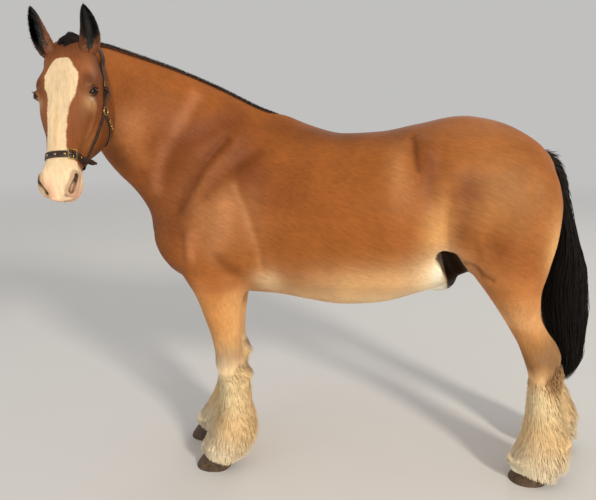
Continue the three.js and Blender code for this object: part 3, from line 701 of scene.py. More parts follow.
# The middle of each nostril's opening.
NOSTRIL = Curve([(556, 66, 22), (572, 66, 24), (588, 59, 20), (602, 50, 12), (607, 43, 2)])


def nearest_on(points, line):
    """Distances from points to a polyline."""
    best = np.full(len(points), 1e9)
    line = np.asarray(line, float)
    for a, b in zip(line[:-1], line[1:]):
        t = np.clip((points - a) @ (b - a) / ((b - a) @ (b - a)), 0, 1)
        best = np.minimum(best, np.linalg.norm(points - a - t[:, None] * (b - a), axis=1))
    return best


def bell(points, middle, reach):
    """1 at the middle, falling away over `reach`."""
    return np.exp(-(((points - middle) / reach)**2).sum(1))


def near_line(points, line, reach):
    """Which points are near a curve, and how near: 1 on it, falling away over `reach`."""
    low, high = np.min(line, 0) - 3 * reach, np.max(line, 0) + 3 * reach
    near = np.flatnonzero(((points > low) & (points < high)).all(1))
    curve = Curve(line).at(np.linspace(0, 1, 5 * len(line)))
    return near, np.exp(-(nearest_on(points[near], curve) / reach)**2)


def raised(points, forms, lines=()):
    """How far forms and lines raise points, whose y is measured away from the middle."""
    total = np.zeros(len(points))
    for middle, reach, height in forms:
        total += height * bell(points, middle, reach)
        if middle[1] and abs(middle[1]) < 2.4 * reach[1]:
            total += height * bell(points, np.array(middle) * (1, -1, 1), reach)
    for line, reach, height in lines:
        near, share = near_line(points, line, reach)
        total[near] += height * share
    return total


def folded(points):
    """Both sides laid on one: y away from the middle."""
    return points * (1, 0, 1) + np.abs(points[:, 1:2]) * (0, 1, 0)


class Skin:
    """Which part of the horse each point of the skin belongs to."""

    def __init__(self):
        self.field = Field()
        self.head = blur(self.field.distances(head_body()), HEAD_BLUR)
        self.values = body_field(self.field)

    def headness(self, points):
        """1 on the head, 0 off it, for points in the horse's frame."""
        depth = self.field.sample(self.head, place(points))
        return smooth(to_head(points)[:, 0], -30, 30) * smooth(depth, 0.022, 0.008)


def leg_points(points, leg):
    """Points as they would be if the leg didn't swing and were on the positive side."""
    out = points * (1, leg.side, 1)
    out[:, 0] -= leg.swing(points[:, 2])
    return out


def leg_of(points):
    """The index of the leg that each point is nearest to."""
    away = [np.abs(points - leg.centre(np.clip(points[:, 2], 40, leg.top)))[:, :2].sum(1) for leg in LEGS]
    return np.argmin(away, axis=0)


def sculpt(piece, skin):
    mesh = piece.data
    points = unplace(coordinates(mesh))
    out = normals(mesh)
    head = skin.headness(points)
    by = raised(folded(points), BODY_FORMS, BODY_LINES) * (1 - head) * smooth(points[:, 2], 780, 900)
    which = leg_of(points)
    low = smooth(points[:, 2], 1010, 940)
    for i, leg in enumerate(LEGS):
        on = np.flatnonzero((which == i) & (low > 0))
        by[on] += raised(leg_points(points[on], leg), LEG_FORMS) * low[on]
    on = np.flatnonzero(head > 0.01)
    local = folded(to_head(points[on]))
    by[on] += raised(local, HEAD_FORMS, HEAD_LINES) * head[on]
    by[on] += nostril_height(local)
    set_coordinates(mesh, place(points + by[:, None] * out))


def from_nostril(local, steps=30):
    return nearest_on(local, NOSTRIL.at(np.linspace(0, 1, steps)))


def nostril_height(local):
    """The rim of a nostril and its hollow."""
    away = from_nostril(local)
    rim = 6 * np.exp(-((away - 13) / 6)**2) - 20 * smooth(away, 10.5, 5.5)
    return np.where(local[:, 0] > 500, rim, 0)


# ---- colours ----

def srgb(colour):
    c = np.asarray(colour, float) / 255
    return np.where(c <= 0.04045, c / 12.92, ((c + 0.055) / 1.055)**2.4)


BAY, FACE_BROWN = srgb((154, 88, 36)), srgb((134, 72, 32))
# The sheath's own pale skin, and the groin's bare dark skin made darker still by painted shade.
PALE_SKIN, GROIN_SKIN_IN_SHADE = (255, 246, 226), (34, 23, 16)

# Patches of colour on the body: [middle, reach, colour, strength]. Later ones lie over earlier ones. Most are
# the coat's own tones; the chest front is darker coat with painted shade on it, and the throat under the jaw
# and the last ten are painted shade and painted highlights.
BODY_PATCHES = [
    [(-800, 200, 1450), (300, 260, 260), (112, 56, 20), 0.88],
    [(-700, 300, 1250), (190, 200, 190), (186, 126, 78), 0.7],
    [(-620, 300, 1000), (170, 200, 110), (162, 94, 38), 0.6],
    [(-150, 200, 1640), (320, 200, 70), (66, 29, 8), 0.92],
    [(0, 330, 1150), (330, 200, 200), (154, 88, 32), 0.6],
    [(450, 150, 1640), (260, 240, 90), (164, 106, 62), 0.7],
    [(520, 300, 1350), (220, 200, 170), (164, 114, 64), 0.75],
    [(255, 320, 1160), (70, 160, 170), (214, 158, 96), 0.85],
    [(430, 300, 1060), (130, 160, 90), (184, 118, 62), 0.5],
    [(60, 260, 840), (350, 260, 124), (255, 224, 174), 0.98],
    [(-300, 250, 850), (240, 240, 60), (242, 196, 138), 0.9],
    [(240, 200, 960), (120, 160, 120), (255, 230, 184), 0.98],
    [(20, 320, 940), (300, 160, 100), (230, 178, 120), 0.8],
    [(284, 190, 1000), (52, 200, 88), (255, 246, 220), 0.98],
    [(-470, 270, 925), (72, 120, 78), (240, 208, 160), 0.8],
    # the chest front: darker coat, with painted shade
    [(-960, 100, 1080), (120, 160, 180), (106, 52, 14), 0.8],
    [(764, 190, 1110), (64, 120, 140), (234, 186, 122), 0.75],
    [(760, 60, 1180), (60, 60, 260), (236, 196, 140), 0.75],
    [(-1090, 300, 1600), (80, 200, 200), (84, 44, 18), 0.45],
    # painted shadow of the jaw across the throat
    [(-1088, 400, 1440), (66, 110, 140), (36, 16, 3), 0.94],
    # from here on: painted shade in the hollows of the withers, shoulder, flank, hip, thigh and stifle, and
    # painted highlights on the flank and on the neck behind the jaw
    [(-549, 210, 1440), (80, 130, 110), (104, 50, 16), 0.7],
    [(-390, 280, 1340), (110, 140, 90), (128, 68, 26), 0.5],
    [(85, 270, 1430), (50, 140, 150), (200, 142, 90), 0.4],
    [(215, 270, 1450), (44, 140, 130), (110, 54, 16), 0.7],
    [(375, 300, 1370), (74, 140, 74), (108, 52, 14), 0.65],
    [(350, 310, 1205), (56, 140, 100), (92, 42, 10), 0.5],
    [(508, 300, 1120), (80, 140, 90), (112, 54, 16), 0.4],
    [(-860, 270, 1190), (70, 140, 120), (108, 52, 14), 0.6],
    [(-1024, 322, 1777), (90, 80, 90), (92, 44, 16), 0.35],
    [(-1030, 330, 1640), (70, 80, 70), (206, 140, 92), 0.45],
]
# Darker and paler bands over the muscles: painted shade along the grooves and creases, painted highlights
# along the ridges, with a little of the coat's own darker tone in the grooves: [points, reach, colour,
# strength]
SHADE_AND_HIGHLIGHT_BANDS = [
    [[(-601, 109, 1672), (-744, 210, 1607), (-866, 260, 1531), (-923, 261, 1429)], 60, (112, 56, 20), 0.55],
    [[(-657, 185, 1568), (-742, 237, 1467), (-811, 243, 1361), (-855, 238, 1281)], 26, (96, 46, 14), 0.6],
    [[(-526, 172, 1516), (-616, 204, 1451), (-692, 231, 1401), (-740, 250, 1340)], 30, (110, 56, 20), 0.5],
    [[(-609, 249, 1377), (-552, 291, 1252), (-507, 304, 1110), (-500, 270, 1010)], 16, (204, 146, 92), 0.35],
    [[(-650, 280, 1300), (-665, 293, 1190), (-690, 290, 1110)], 46, (196, 134, 88), 0.5],
    [[(-793, 285, 1168), (-803, 284, 1074)], 24, (196, 128, 84), 0.45],
    [[(-660, 296, 1060), (-600, 300, 1010)], 40, (126, 70, 26), 0.6],
    [[(-790, 161, 1761), (-864, 255, 1607), (-931, 272, 1480), (-957, 248, 1361)], 30, (188, 122, 80), 0.45],
    [[(-1036, 318, 1574), (-1000, 300, 1490)], 46, (176, 110, 60), 0.7],
    [[(150, 172, 1587), (152, 209, 1560), (158, 248, 1505), (166, 280, 1450)], 13, (96, 48, 16), 0.6],
    [[(386, 238, 1046), (441, 254, 1029), (458, 254, 1003), (496, 275, 979)], 12, (84, 42, 16), 0.8],
    [[(-1000, 140, 1200), (-968, 168, 1090), (-905, 182, 990)], 30, (112, 56, 20), 0.45],
]
# The hind legs' dark colour runs down the outside of the hock in a point: [point, reach]
HOCK_POINT = [(790, 240, 500), (24, 60, 46)]
# The colours of the legs: [height, colour in front, colour behind]
FORE_TONES = through([
    [0, 255, 242, 212, 252, 230, 190],
    [120, 255, 240, 208, 248, 222, 178],
    [280, 250, 214, 160, 236, 196, 142],
    [420, 255, 232, 182, 240, 204, 148],
    [510, 250, 222, 174, 232, 196, 144],
    [552, 196, 168, 134, 210, 176, 134],
    [590, 184, 148, 110, 198, 158, 114],
    [650, 204, 152, 100, 204, 158, 104],
    [720, 208, 146, 84, 222, 168, 108],
    [850, 204, 138, 76, 214, 160, 100],
    [1000, 186, 116, 62, 190, 124, 70],
])
HIND_TONES = through([
    [0, 255, 244, 214, 252, 232, 192],
    [120, 255, 240, 208, 250, 224, 180],
    [280, 250, 214, 158, 238, 198, 144],
    [420, 255, 230, 180, 240, 204, 148],
    [500, 230, 188, 136, 230, 192, 140],
    [545, 196, 152, 104, 180, 140, 96],
    [600, 148, 106, 64, 144, 106, 68],
    [680, 176, 122, 70, 150, 112, 72],
    [780, 206, 150, 98, 208, 152, 98],
    [950, 190, 122, 64, 216, 160, 100],
    [1080, 192, 124, 70, 208, 148, 92],
])
# Patches of colour on the head, in its own frame.
HEAD_PATCHES = [
    [(560, 30, -110), (60, 70, 50), (246, 222, 190), 0.8],
    [(176, 104, 26), (24, 22, 36), (78, 46, 30), 0.75],
    [(150, 0, 60), (200, 120, 90), (150, 88, 50), 0.8],
    [(196, 104, 26), (40, 50, 40), (112, 66, 40), 0.7],
    [(240, 110, -120), (160, 60, 120), (108, 62, 36), 0.85],
    [(300, 80, 10), (120, 40, 50), (128, 78, 44), 0.8],
    [(420, 66, -40), (90, 50, 50), (134, 80, 44), 0.8],
    [(430, 40, -150), (120, 70, 60), (112, 60, 26), 0.7],
    [(60, 60, -120), (80, 80, 130), (70, 40, 18), 0.9],
    [(270, 20, -230), (170, 110, 70), (78, 44, 18), 0.85],
    [(20, 0, 60), (60, 80, 50), (90, 52, 30), 0.8],
    [(262, 98, 16), (30, 30, 30), (206, 160, 108), 0.6],
    [(243, 103, 10), (9, 16, 15), (214, 194, 166), 0.55],
    [(180, 98, 50), (24, 24, 20), (74, 38, 16), 0.65],
    # painted highlight on the fold of the upper lid
    [(201, 106, 40), (8, 20, 10), (150, 110, 70), 0.45],
    [(222, 76, 54), (24, 12, 18), (112, 60, 26), 0.5],
    [(110, 100, 40), (40, 30, 40), (166, 114, 70), 0.45],
    [(370, 72, -60), (56, 40, 46), (180, 122, 68), 0.5],
]
# The edges of the blaze: [down the face, right edge, left edge]
BLAZE = through([[84, -16, 4], [88, -26, 16], [100, -40, 28], [126, -54, 43], [170, -66, 62], [204, -64, 60],
                 [240, -52, 53], [275, -50, 40], [306, -51, 31], [368, -48, 26], [418, -50, 28],
                 [455, -52, 32], [490, -58, 52], [515, -66, 84], [545, -90, 110], [580, -120, 130],
                 [640, -140, 140]])


def mixed(base, colour, share):
    return base + (srgb(colour) - base) * share[:, None]


def patched(base, points, patches):
    for middle, reach, colour, strength in patches:
        base = mixed(base, colour, strength * bell(points, middle, reach))
    return base


def banded(base, points, bands):
    for line, reach, colour, strength in bands:
        near, share = near_line(points, line, reach)
        base[near] = mixed(base[near], colour, strength * share)
    return base


def wave(points, size, seed):
    """A smooth random number from about -1 to 1 at each point, that changes over `size` mm."""
    r = np.random.default_rng(seed + 100)
    total = np.zeros(len(points))
    for _ in range(9):
        turn = unit(r.normal(size=3)) * r.uniform(0.6, 1.7)
        total += np.sin(points @ turn / size * 2 + r.uniform(0, 6.28))
    return total / 3


def blaze(local):
    """1 on the white of the face. `local` is in the head's frame."""
    right, left = BLAZE(local[:, 0]).T
    ragged = 1.2 * wave(local, 22, 1) + 1.0 * wave(local, 4, 2)
    across = local[:, 1] + ragged
    inside = smooth(across, right - 3, right + 3) * smooth(across, left + 3, left - 3)
    front = np.maximum(smooth(local[:, 2], 0, 12), smooth(local[:, 0], 490, 525))
    return inside * front * smooth(local[:, 0] + ragged, 84, 90)


def groin_shade(points):
    """1 inside the groin, where painted shade darkens the bare skin and the back of the sheath, for points
    laid on one side.
    """
    x, y, z = points.T
    _, bottom, half, widest, _, lower = trunk_shape(np.clip(x, 200, 700)).T
    drop = np.clip((widest - z) / (widest - bottom), 0, 1)
    wall = np.maximum(half * (1 - drop**lower)**(1 / lower), 80)
    edge = 340 - 0.09 * (y - 40) - 0.27 * np.maximum(z - 945, 0) + 0.16 * np.maximum(945 - z, 0)
    fold = 300 + 1.1 * (1112 - z) + 400 * smooth(y, 200, 165)
    inside = smooth(wall - y, 5, 14) * smooth(x - edge, -3, 5) * smooth(fold - x, -4, 6)
    return 0.96 * inside * smooth(z, 830, 850) * smooth(z, 1104, 1084) * smooth(x, 620, 500)


def leg_colour(points, leg):
    """The colour of a leg at points near it, and its share there."""
    z = points[:, 2] + 11 * wave(points, 46, 6)
    if not leg.fore:
        z = z + 90 * bell(folded(points), *HOCK_POINT)
    front, back = leg.feather(np.clip(z, 38, 500) if leg.fore else z)[:, :2].T
    x = leg_points(points, leg)[:, 0]
    behind = smooth(x, front, back)[:, None]
    tones = (FORE_TONES if leg.fore else HIND_TONES)(z)
    colour = srgb(tones[:, :3]) * (1 - behind) + srgb(tones[:, 3:]) * behind
    start, end, middle, half = leg.skin(z)[:, :4].T
    inside = smooth(np.abs(np.abs(points[:, 1]) - middle), half + 60, half + 15)
    near = smooth(x, start - 75, start - 15) * smooth(x, end + 75, end + 15)
    inside = inside * (1 - (1 - near) * smooth(z, 560, 680))
    top = (1010, 880) if leg.fore else (1060, 900)
    return colour, (smooth(z, *top) * inside)[:, None]


def face_colour(local):
    """The colour of the head, at points in its own frame."""
    face = patched(np.tile(FACE_BROWN, (len(local), 1)), folded(local), HEAD_PATCHES)
    white = blaze(local)
    face = mixed(face, (229, 201, 160), white)
    face = mixed(face, (196, 158, 112), 0.45 * white * np.exp(-((local[:, 1] + 14) / 9)**2)
                 * smooth(local[:, 0], 250, 330) * smooth(local[:, 0], 500, 440))
    return muzzle_colour(face, local)


def coat_colour(points, head):
    """The colour of the coat at points in the horse's frame, where `head` is 1 on the head."""
    side = folded(points)
    # The patches and bands lay painted shade and painted highlights over the muscles, as well as the coat's
    # own tones.
    tone = banded(patched(np.tile(BAY, (len(points), 1)), side, BODY_PATCHES), side, SHADE_AND_HIGHLIGHT_BANDS)
    low = np.flatnonzero(points[:, 2] < 1080)
    which = leg_of(points[low])
    for i, leg in enumerate(LEGS):
        on = low[which == i]
        colour, share = leg_colour(points[on], leg)
        tone[on] = tone[on] * (1 - share) + colour * share
    sheath = np.linalg.norm((points - (316, 0, 900)) / (96, 56, 66), axis=1)
    tone = mixed(tone, PALE_SKIN, smooth(sheath, 1.2, 0.8))
    # Painted shade over the bare skin of the groin and the back of the sheath.
    tone = mixed(tone, GROIN_SKIN_IN_SHADE, groin_shade(side))
    on = np.flatnonzero(head > 0.01)
    share = head[on][:, None]
    tone[on] = tone[on] * (1 - share) + face_colour(to_head(points[on])) * share
    return tone * (1 + 0.05 * wave(points, 90, 3) + 0.03 * wave(points, 30, 4))[:, None]


def muzzle_colour(face, local):
    """The bare pink and grey of the lips and nostrils."""
    white = smooth(local[:, 0], 512, 560) * smooth(local[:, 2], -140, -95)
    face = mixed(face, (240, 208, 168), white * 0.92)
    pink = smooth(local[:, 0], 560, 600) * smooth(wave(local, 26, 5), -0.5, 0.5)
    face = mixed(face, (240, 188, 158), pink * 0.75)
    away = from_nostril(folded(local))
    face = mixed(face, (142, 112, 86), smooth(away, 30, 11) * 0.65)
    face = mixed(face, (62, 42, 34), smooth(away, 9.5, 6.0) * 0.95)
    spot = np.linalg.norm((local - (622, 24, -2)) / (9, 11, 8), axis=1)
    face = mixed(face, (150, 116, 100), smooth(spot, 1.3, 0.5) * 0.7)
    lips = nearest_on(folded(local), Curve(LIPS).at(np.linspace(0, 1, 20)))
    face = mixed(face, (88, 60, 50), smooth(lips, 7, 2.0) * 0.85)
    eye = np.linalg.norm((folded(local) - EYE_RIM) / (25, 20, 18), axis=1)
    return mixed(face, (42, 29, 22), smooth(eye, 1.1, 0.75) * 0.85)


# ---- materials ----

class Nodes:
    """A new material and a short way to add nodes to it."""

    def __init__(self, name):
        self.material = bpy.data.materials.new(name)
        self.material.use_nodes = True
        self.tree = self.material.node_tree
        self.shader = self.tree.nodes["Principled BSDF"]

    def add(self, kind, options=(), out=0, **inputs):
        node = self.tree.nodes.new("ShaderNode" + kind)
        for key, value in dict(options).items():
            setattr(node, key, value)
        self.feed(node, inputs)
        return node.outputs[out]

    def feed(self, node, inputs):
        for key, value in inputs.items():
            socket = node.inputs[int(key[1:])] if key[0] == "i" and key[1:].isdigit() else node.inputs[
                key.replace("_", " ")]
            if isinstance(value, bpy.types.NodeSocket):
                self.tree.links.new(value, socket)
            else:
                socket.default_value = value

    def set(self, **inputs):
        self.feed(self.shader, inputs)
        return self.material

    def math(self, operation, *values):
        return self.add("Math", {"operation": operation}, **{f"i{i}": v for i, v in enumerate(values)})

    def attribute(self, name, output=0):
        node = self.tree.nodes.new("ShaderNodeAttribute")
        node.attribute_name = name
        return node.outputs[output]

    def noise(self, scale, detail=3.0, vector=None, roughness=0.55):
        place = vector or self.add("NewGeometry")
        return self.add("TexNoise", Vector=place, Scale=scale, Detail=detail, Roughness=roughness)

    def ramp(self, value, *stops):
        """A colour for each value, from two stops of (value, colour)."""
        tint = self.add("ValToRGB", i0=value)
        for element, (position, colour) in zip(tint.node.color_ramp.elements, stops):
            element.position, element.color = position, (*srgb(colour), 1)
        return tint

    def stretched_noise(self, size, detail):
        place = self.add("Mapping", Vector=self.add("NewGeometry"), Scale=size)
        return self.noise(1.0, detail, place)

    def remap(self, value, low, high, to_low=0.0, to_high=1.0):
        return self.add("MapRange", Value=value, From_Min=low, From_Max=high, To_Min=to_low, To_Max=to_high)

    def bump(self, height, distance, strength=1.0, normal=None):
        extra = {"Normal": normal} if normal else {}
        return self.add("Bump", Height=height, Distance=distance, Strength=strength, **extra)


def coat_material():
    m = Nodes("coat")
    tone = m.attribute("Tone")
    lie = m.attribute("Lie", 1)
    hair = m.noise(95.0, 3.0, lie, 0.6)
    clumps = m.noise(16.0, 2.0, lie)
    mottle = m.noise(7.0, 3.0)
    shade = m.math("MULTIPLY", m.remap(hair, 0.3, 0.7, 0.87, 1.11), m.remap(clumps, 0.3, 0.7, 0.96, 1.04))
    shade = m.math("MULTIPLY", shade, m.remap(mottle, 0.3, 0.7, 0.94, 1.06))
    colour = m.add("VectorMath", {"operation": "MULTIPLY"}, i0=tone, i1=shade)
    fine = m.bump(hair, 0.0022, 0.55)
    return m.set(Base_Color=colour, Roughness=0.55, Specular_IOR_Level=0.16, Sheen_Weight=0.02,
                 Sheen_Roughness=0.4, Sheen_Tint=(1, 0.8, 0.6, 1),
                 Normal=m.bump(clumps, 0.006, 0.35, fine))


def add_tone(mesh, tone):
    """Keeps a colour at each point, which the materials read."""
    values = np.concatenate([np.clip(tone, 0, 1), np.ones((len(tone), 1))], axis=1)
    attribute = mesh.attributes.new("Tone", "FLOAT_COLOR", "POINT")
    attribute.data.foreach_set("color", values.astype(np.float32).ravel())


def paint(mesh, points, tone, head):
    """Keeps the colour and the lie of the coat at each point of a mesh."""
    add_tone(mesh, tone)
    attribute = mesh.attributes.new("Lie", "FLOAT_VECTOR", "POINT")
    attribute.data.foreach_set("vector", lie_coordinates(points, head).astype(np.float32).ravel())


# ---- the lie of the coat ----

BODY_LIE, HEAD_LIE = [1.0, 0, -0.42], HEAD[:, 0] - 0.25 * HEAD[:, 2]
# Head and body textures meet at the throat, where both leave the places as they are.
THROAT, HAIR_STRETCH = np.array([-1130.0, -330, 1700]), 0.22


def hair_way(points, out, head):
    """The way the hair points at places on the skin: along it, in the horse's frame."""
    way = np.tile(BODY_LIE, (len(points), 1))
    neck = smooth(points[:, 0], -620, -900)
    way += neck[:, None] * (np.array([0.1, 0.25, -0.9]))
    low = smooth(points[:, 2], 1120, 860)
    way += low[:, None] * np.array([-0.6, 0, -2.2]) * smooth(np.abs(points[:, 1]), 20, 120)[:, None]
    rump = smooth(points[:, 0], 480, 780)
    way += rump[:, None] * np.array([-0.6, 0, -1.2])
    chest = smooth(points[:, 0], -820, -980) * smooth(points[:, 2], 1500, 1300)
    way += chest[:, None] * np.array([0, 0, -2.5])
    way = way * (1 - head[:, None]) + head[:, None] * HEAD_LIE
    way -= (way * out).sum(1, keepdims=True) * out
    return unit(way)


def lie_coordinates(points, head):
    """Places drawn out along the hair, so that a texture on them runs with it."""
    def drawn(way):
        way = unit(np.asarray(way, float))
        return points - (1 - HAIR_STRETCH) * ((points - THROAT) @ way)[:, None] * way

    low = smooth(points[:, 2], 960, 900)[:, None]
    body = drawn(unit(np.array(BODY_LIE))) * (1 - low) + drawn((0.1, 0, -1)) * low
    return np.where((head > 0.5)[:, None], drawn(HEAD_LIE), body) / 1000


def make_skin(material):
    """The one skin, under the depth of the coat, with what tells head from body on it."""
    skin = Skin()
    points, quads = skin.field.surface(skin.values, -COAT_DEPTH)
    piece = mesh_object("skin", points, quads, material)

    def on_head(middles, low, high):
        local = to_head(middles)
        return (local > low).all(1) & (local < high).all(1)

    refine(piece, lambda p: on_head(p, (-60, -160, -300), (700, 160, 160)) & (skin.headness(p) > 0.3))
    settle(piece, skin.field, skin.values, -COAT_DEPTH)

    def fine(p):
        local = folded(to_head(p))
        eye = np.linalg.norm(local - EYE_COVER, axis=1) < 62
        nose = (local[:, 0] > 500) & on_head(p, (500, -110, -130), (700, 110, 70))
        return (eye | nose) & (skin.headness(p) > 0.6)

    refine(piece, fine)
    settle(piece, skin.field, skin.values, -COAT_DEPTH)
    sculpt(piece, skin)
    points = unplace(coordinates(piece.data))
    head = skin.headness(points)
    paint(piece.data, points, coat_colour(points, head), head)
    return piece, skin


# ---- the stage ----

STUDIO = (0.95, 0.94, 0.93)
STUDIO_LIGHT = 0.56


def stage():
    floor = mesh_object("floor", np.array([(-30, -30, 0), (30, -30, 0), (30, 30, 0), (-30, 30, 0)]),
                        np.array([(0, 1, 2, 3)]))
    m = Nodes("floor")
    place_of = m.add("TexCoord", {}, out="Object")
    away = m.add("VectorMath", {"operation": "LENGTH"}, out="Value", i0=place_of)
    far = m.remap(away, 6.0, 17.0)
    pale = m.add("Mix", {"data_type": "RGBA"}, out=2, i0=far, i6=(0.74, 0.73, 0.71, 1), i7=(0, 0, 0, 1))
    glow = m.math("MULTIPLY", far, STUDIO_LIGHT)
    floor.data.materials.append(m.set(Base_Color=pale, Roughness=1.0, Specular_IOR_Level=0.0,
                                      Emission_Color=(*STUDIO, 1), Emission_Strength=glow))
    lights = [
        ("key", (7.7, -11.8, 6.9), 2.4, 1680, (1.0, 0.92, 0.8)),
        ("fill", (-8.5, -7.0, 3.0), 6.0, 100, (0.97, 0.97, 1.0)),
        ("rim", (2.5, 8.5, 7.0), 5.0, 95, (0.97, 0.97, 1.0)),
    ]
    for name, at, size, power, colour in lights:
        light = bpy.data.lights.new(name, "AREA")
        light.shape, light.size, light.energy, light.color = "DISK", size, power, colour
        lamp = bpy.data.objects.new(name, light)
        lamp.location = at
        lamp.rotation_euler = (Vector((0, 0, 1.1)) - Vector(at)).to_track_quat("-Z", "Y").to_euler()
        bpy.context.scene.collection.objects.link(lamp)
    world = bpy.data.worlds.new("studio")
    world.use_nodes = True
    background = world.node_tree.nodes["Background"]
    background.inputs["Color"].default_value = (*STUDIO, 1)
    background.inputs["Strength"].default_value = STUDIO_LIGHT
    bpy.context.scene.world = world
    bpy.context.scene.view_settings.view_transform = "Standard"


def camera():
    data = bpy.data.cameras.new("camera")
    data.lens, data.sensor_width = 37.45, 36
    eye = bpy.data.objects.new("camera", data)
    axes = Matrix(((0.99731, 0.07330, 0), (-0.01460, 0.19862, 0.97997), (0.07183, -0.97733, 0.19915)))
    eye.matrix_world = Matrix.Translation((-0.0041, -2.6879, 1.64)) @ axes.transposed().to_4x4()
    bpy.context.scene.collection.objects.link(eye)
    bpy.context.scene.camera = eye


# ---- locks of hair ----

TRIANGLES_IN_A_PIECE = 190000


def unwrap(points):
    """Where points of the horse lie on a flat map of its skin: the body, head and legs each unrolled."""
    u = np.zeros((len(points), 2))
    x, y, z = points.T
    u[:, 0] = 0.03 + 0.58 * np.clip((x + 1250) / 2150, 0, 1)
    u[:, 1] = 0.03 + 0.58 * (np.arctan2(y, z - 1250) / (2 * np.pi) + 0.5)
    local = to_head(points)
    on = (local > (-190, -170, -330)).all(1) & (local < (700, 170, 180)).all(1)
    u[on, 0] = 0.66 + 0.31 * (local[on, 0] + 190) / 890
    u[on, 1] = 0.03 + 0.58 * (np.arctan2(local[on, 1], local[on, 2] + 70) / (2 * np.pi) + 0.5)
    low = (z < 850) & ~on
    which = leg_of(points)
    for i, leg in enumerate(LEGS):
        here = low & (which == i)
        away = points[here] - leg.centre(z[here])
        u[here, 0] = 0.03 + 0.24 * i + 0.2 * (np.arctan2(away[:, 1], away[:, 0]) / (2 * np.pi) + 0.5)
        u[here, 1] = 0.66 + 0.31 * z[here] / 850
    return u


def bent(root, control, tip, rings):
    """Paths from root to tip that bend towards control, as (locks, rings, 3)."""
    t = np.linspace(0, 1, rings)[None, :, None]
    return (1 - t)**2 * root[:, None] + 2 * t * (1 - t) * control[:, None] + t**2 * tip[:, None]


def grow(name, paths, width, out, tone, material, tip_tone=None, taper=None, flat=0.4, follow=0.6):
    """Makes locks as thin solids with three sides, in pieces small enough to handle.

    `paths` is (locks, points, 3) in the horse's frame, from root to tip, `out` is the way out of the
    skin and `tone` the colour at each root. Each lock is one patch on the map OFBake.
    """
    pieces = []
    locks, rings = paths.shape[:2]
    each = 6 * (rings - 2) + 4
    limit = TRIANGLES_IN_A_PIECE // each
    if taper is None:
        t = np.linspace(0, 1, rings)
        taper = (0.72 + 1.1 * t - 1.75 * t**2)[:-1]
    tip_tone = tone if tip_tone is None else tip_tone
    for k, first in enumerate(range(0, locks, limit)):
        part = slice(first, first + limit)
        pieces.append(lock_piece(f"{name}_{k + 1}", paths[part], width[part], out[part], tone[part],
                                 tip_tone[part], taper, flat, follow, material))
    return pieces


LOCK_PATCH = 0.003  # the size of a lock's place in the texture of its colours


def lock_piece(name, paths, width, out, tone, tip_tone, taper, flat, follow, material):
    locks, rings = paths.shape[:2]
    along = unit(np.gradient(paths, axis=1))[:, :-1]
    across = unit(np.cross(along, out[:, None]))
    over = np.cross(across, along)
    half = (width[:, None] * taper[None])[..., None] / 2
    body = paths[:, :-1]
    corners = np.stack([body - across * half, body + over * half * 2 * flat, body + across * half], axis=2)
    points = np.concatenate([corners.reshape(locks, -1, 3), paths[:, -1:]], axis=1)
    quads, last = ring_quads(rings - 1, 3), 3 * (rings - 2)
    tip = [[last + k, last + (k + 1) % 3, last + 3] for k in range(3)]
    faces = np.concatenate([quads[:, :3], quads[:, [0, 2, 3]], tip, [[2, 1, 0]]])
    count = points.shape[1]
    corner_index = (faces.ravel()[None] + np.arange(locks)[:, None] * count).ravel()
    mesh = bpy.data.meshes.new(name)
    mesh.vertices.add(locks * count)
    mesh.vertices.foreach_set("co", place(points.reshape(-1, 3)).astype(np.float32).ravel())
    mesh.loops.add(len(corner_index))
    mesh.loops.foreach_set("vertex_index", corner_index.astype(np.int32))
    mesh.polygons.add(len(corner_index) // 3)
    mesh.polygons.foreach_set("loop_start", np.arange(0, len(corner_index), 3, dtype=np.int32))
    shade_smooth(mesh)
    share = np.append(np.repeat(np.linspace(0, 1, rings)[:-1], 3), 1)
    shade = tone[:, None] * (1 - share[None, :, None]) + tip_tone[:, None] * share[None, :, None]
    add_tone(mesh, shade.reshape(-1, 3))
    corner = np.concatenate([np.stack([np.tile([0, 0.5, 1], rings - 1), share[:-1]], -1), [[0.5, 1]]])
    spot = unwrap(paths[:, 0])[:, None] + LOCK_PATCH * (corner[None] - 0.5)
    layer = mesh.uv_layers.new(name="OFBake")
    layer.data.foreach_set("uv", spot.reshape(-1, 2)[corner_index].astype(np.float32).ravel())
    mesh.update(calc_edges=True)
    # Hair takes the light much as the body under it does.
    own = normals(mesh).reshape(locks, count, 3)
    soft = unit(own * (1 - follow) + out[:, None] * follow)
    mesh.normals_split_custom_set_from_vertices(soft.reshape(-1, 3))
    mesh.materials.append(material)
    piece = bpy.data.objects.new(name, mesh)
    bpy.context.scene.collection.objects.link(piece)
    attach(piece, "root")
    return piece


def hair_material(name, roughness=0.5, sheen=0.1, specular=0.4, vary=0.12):
    m = Nodes(name)
    streak = m.noise(160.0, 2.0)
    tone = m.add("VectorMath", {"operation": "SCALE"}, i0=m.attribute("Tone"),
                 Scale=m.remap(streak, 0.3, 0.7, 1 - vary, 1 + vary))
    return m.set(Base_Color=tone, Roughness=roughness, Specular_IOR_Level=specular, Sheen_Weight=sheen,
                 Sheen_Roughness=0.4)


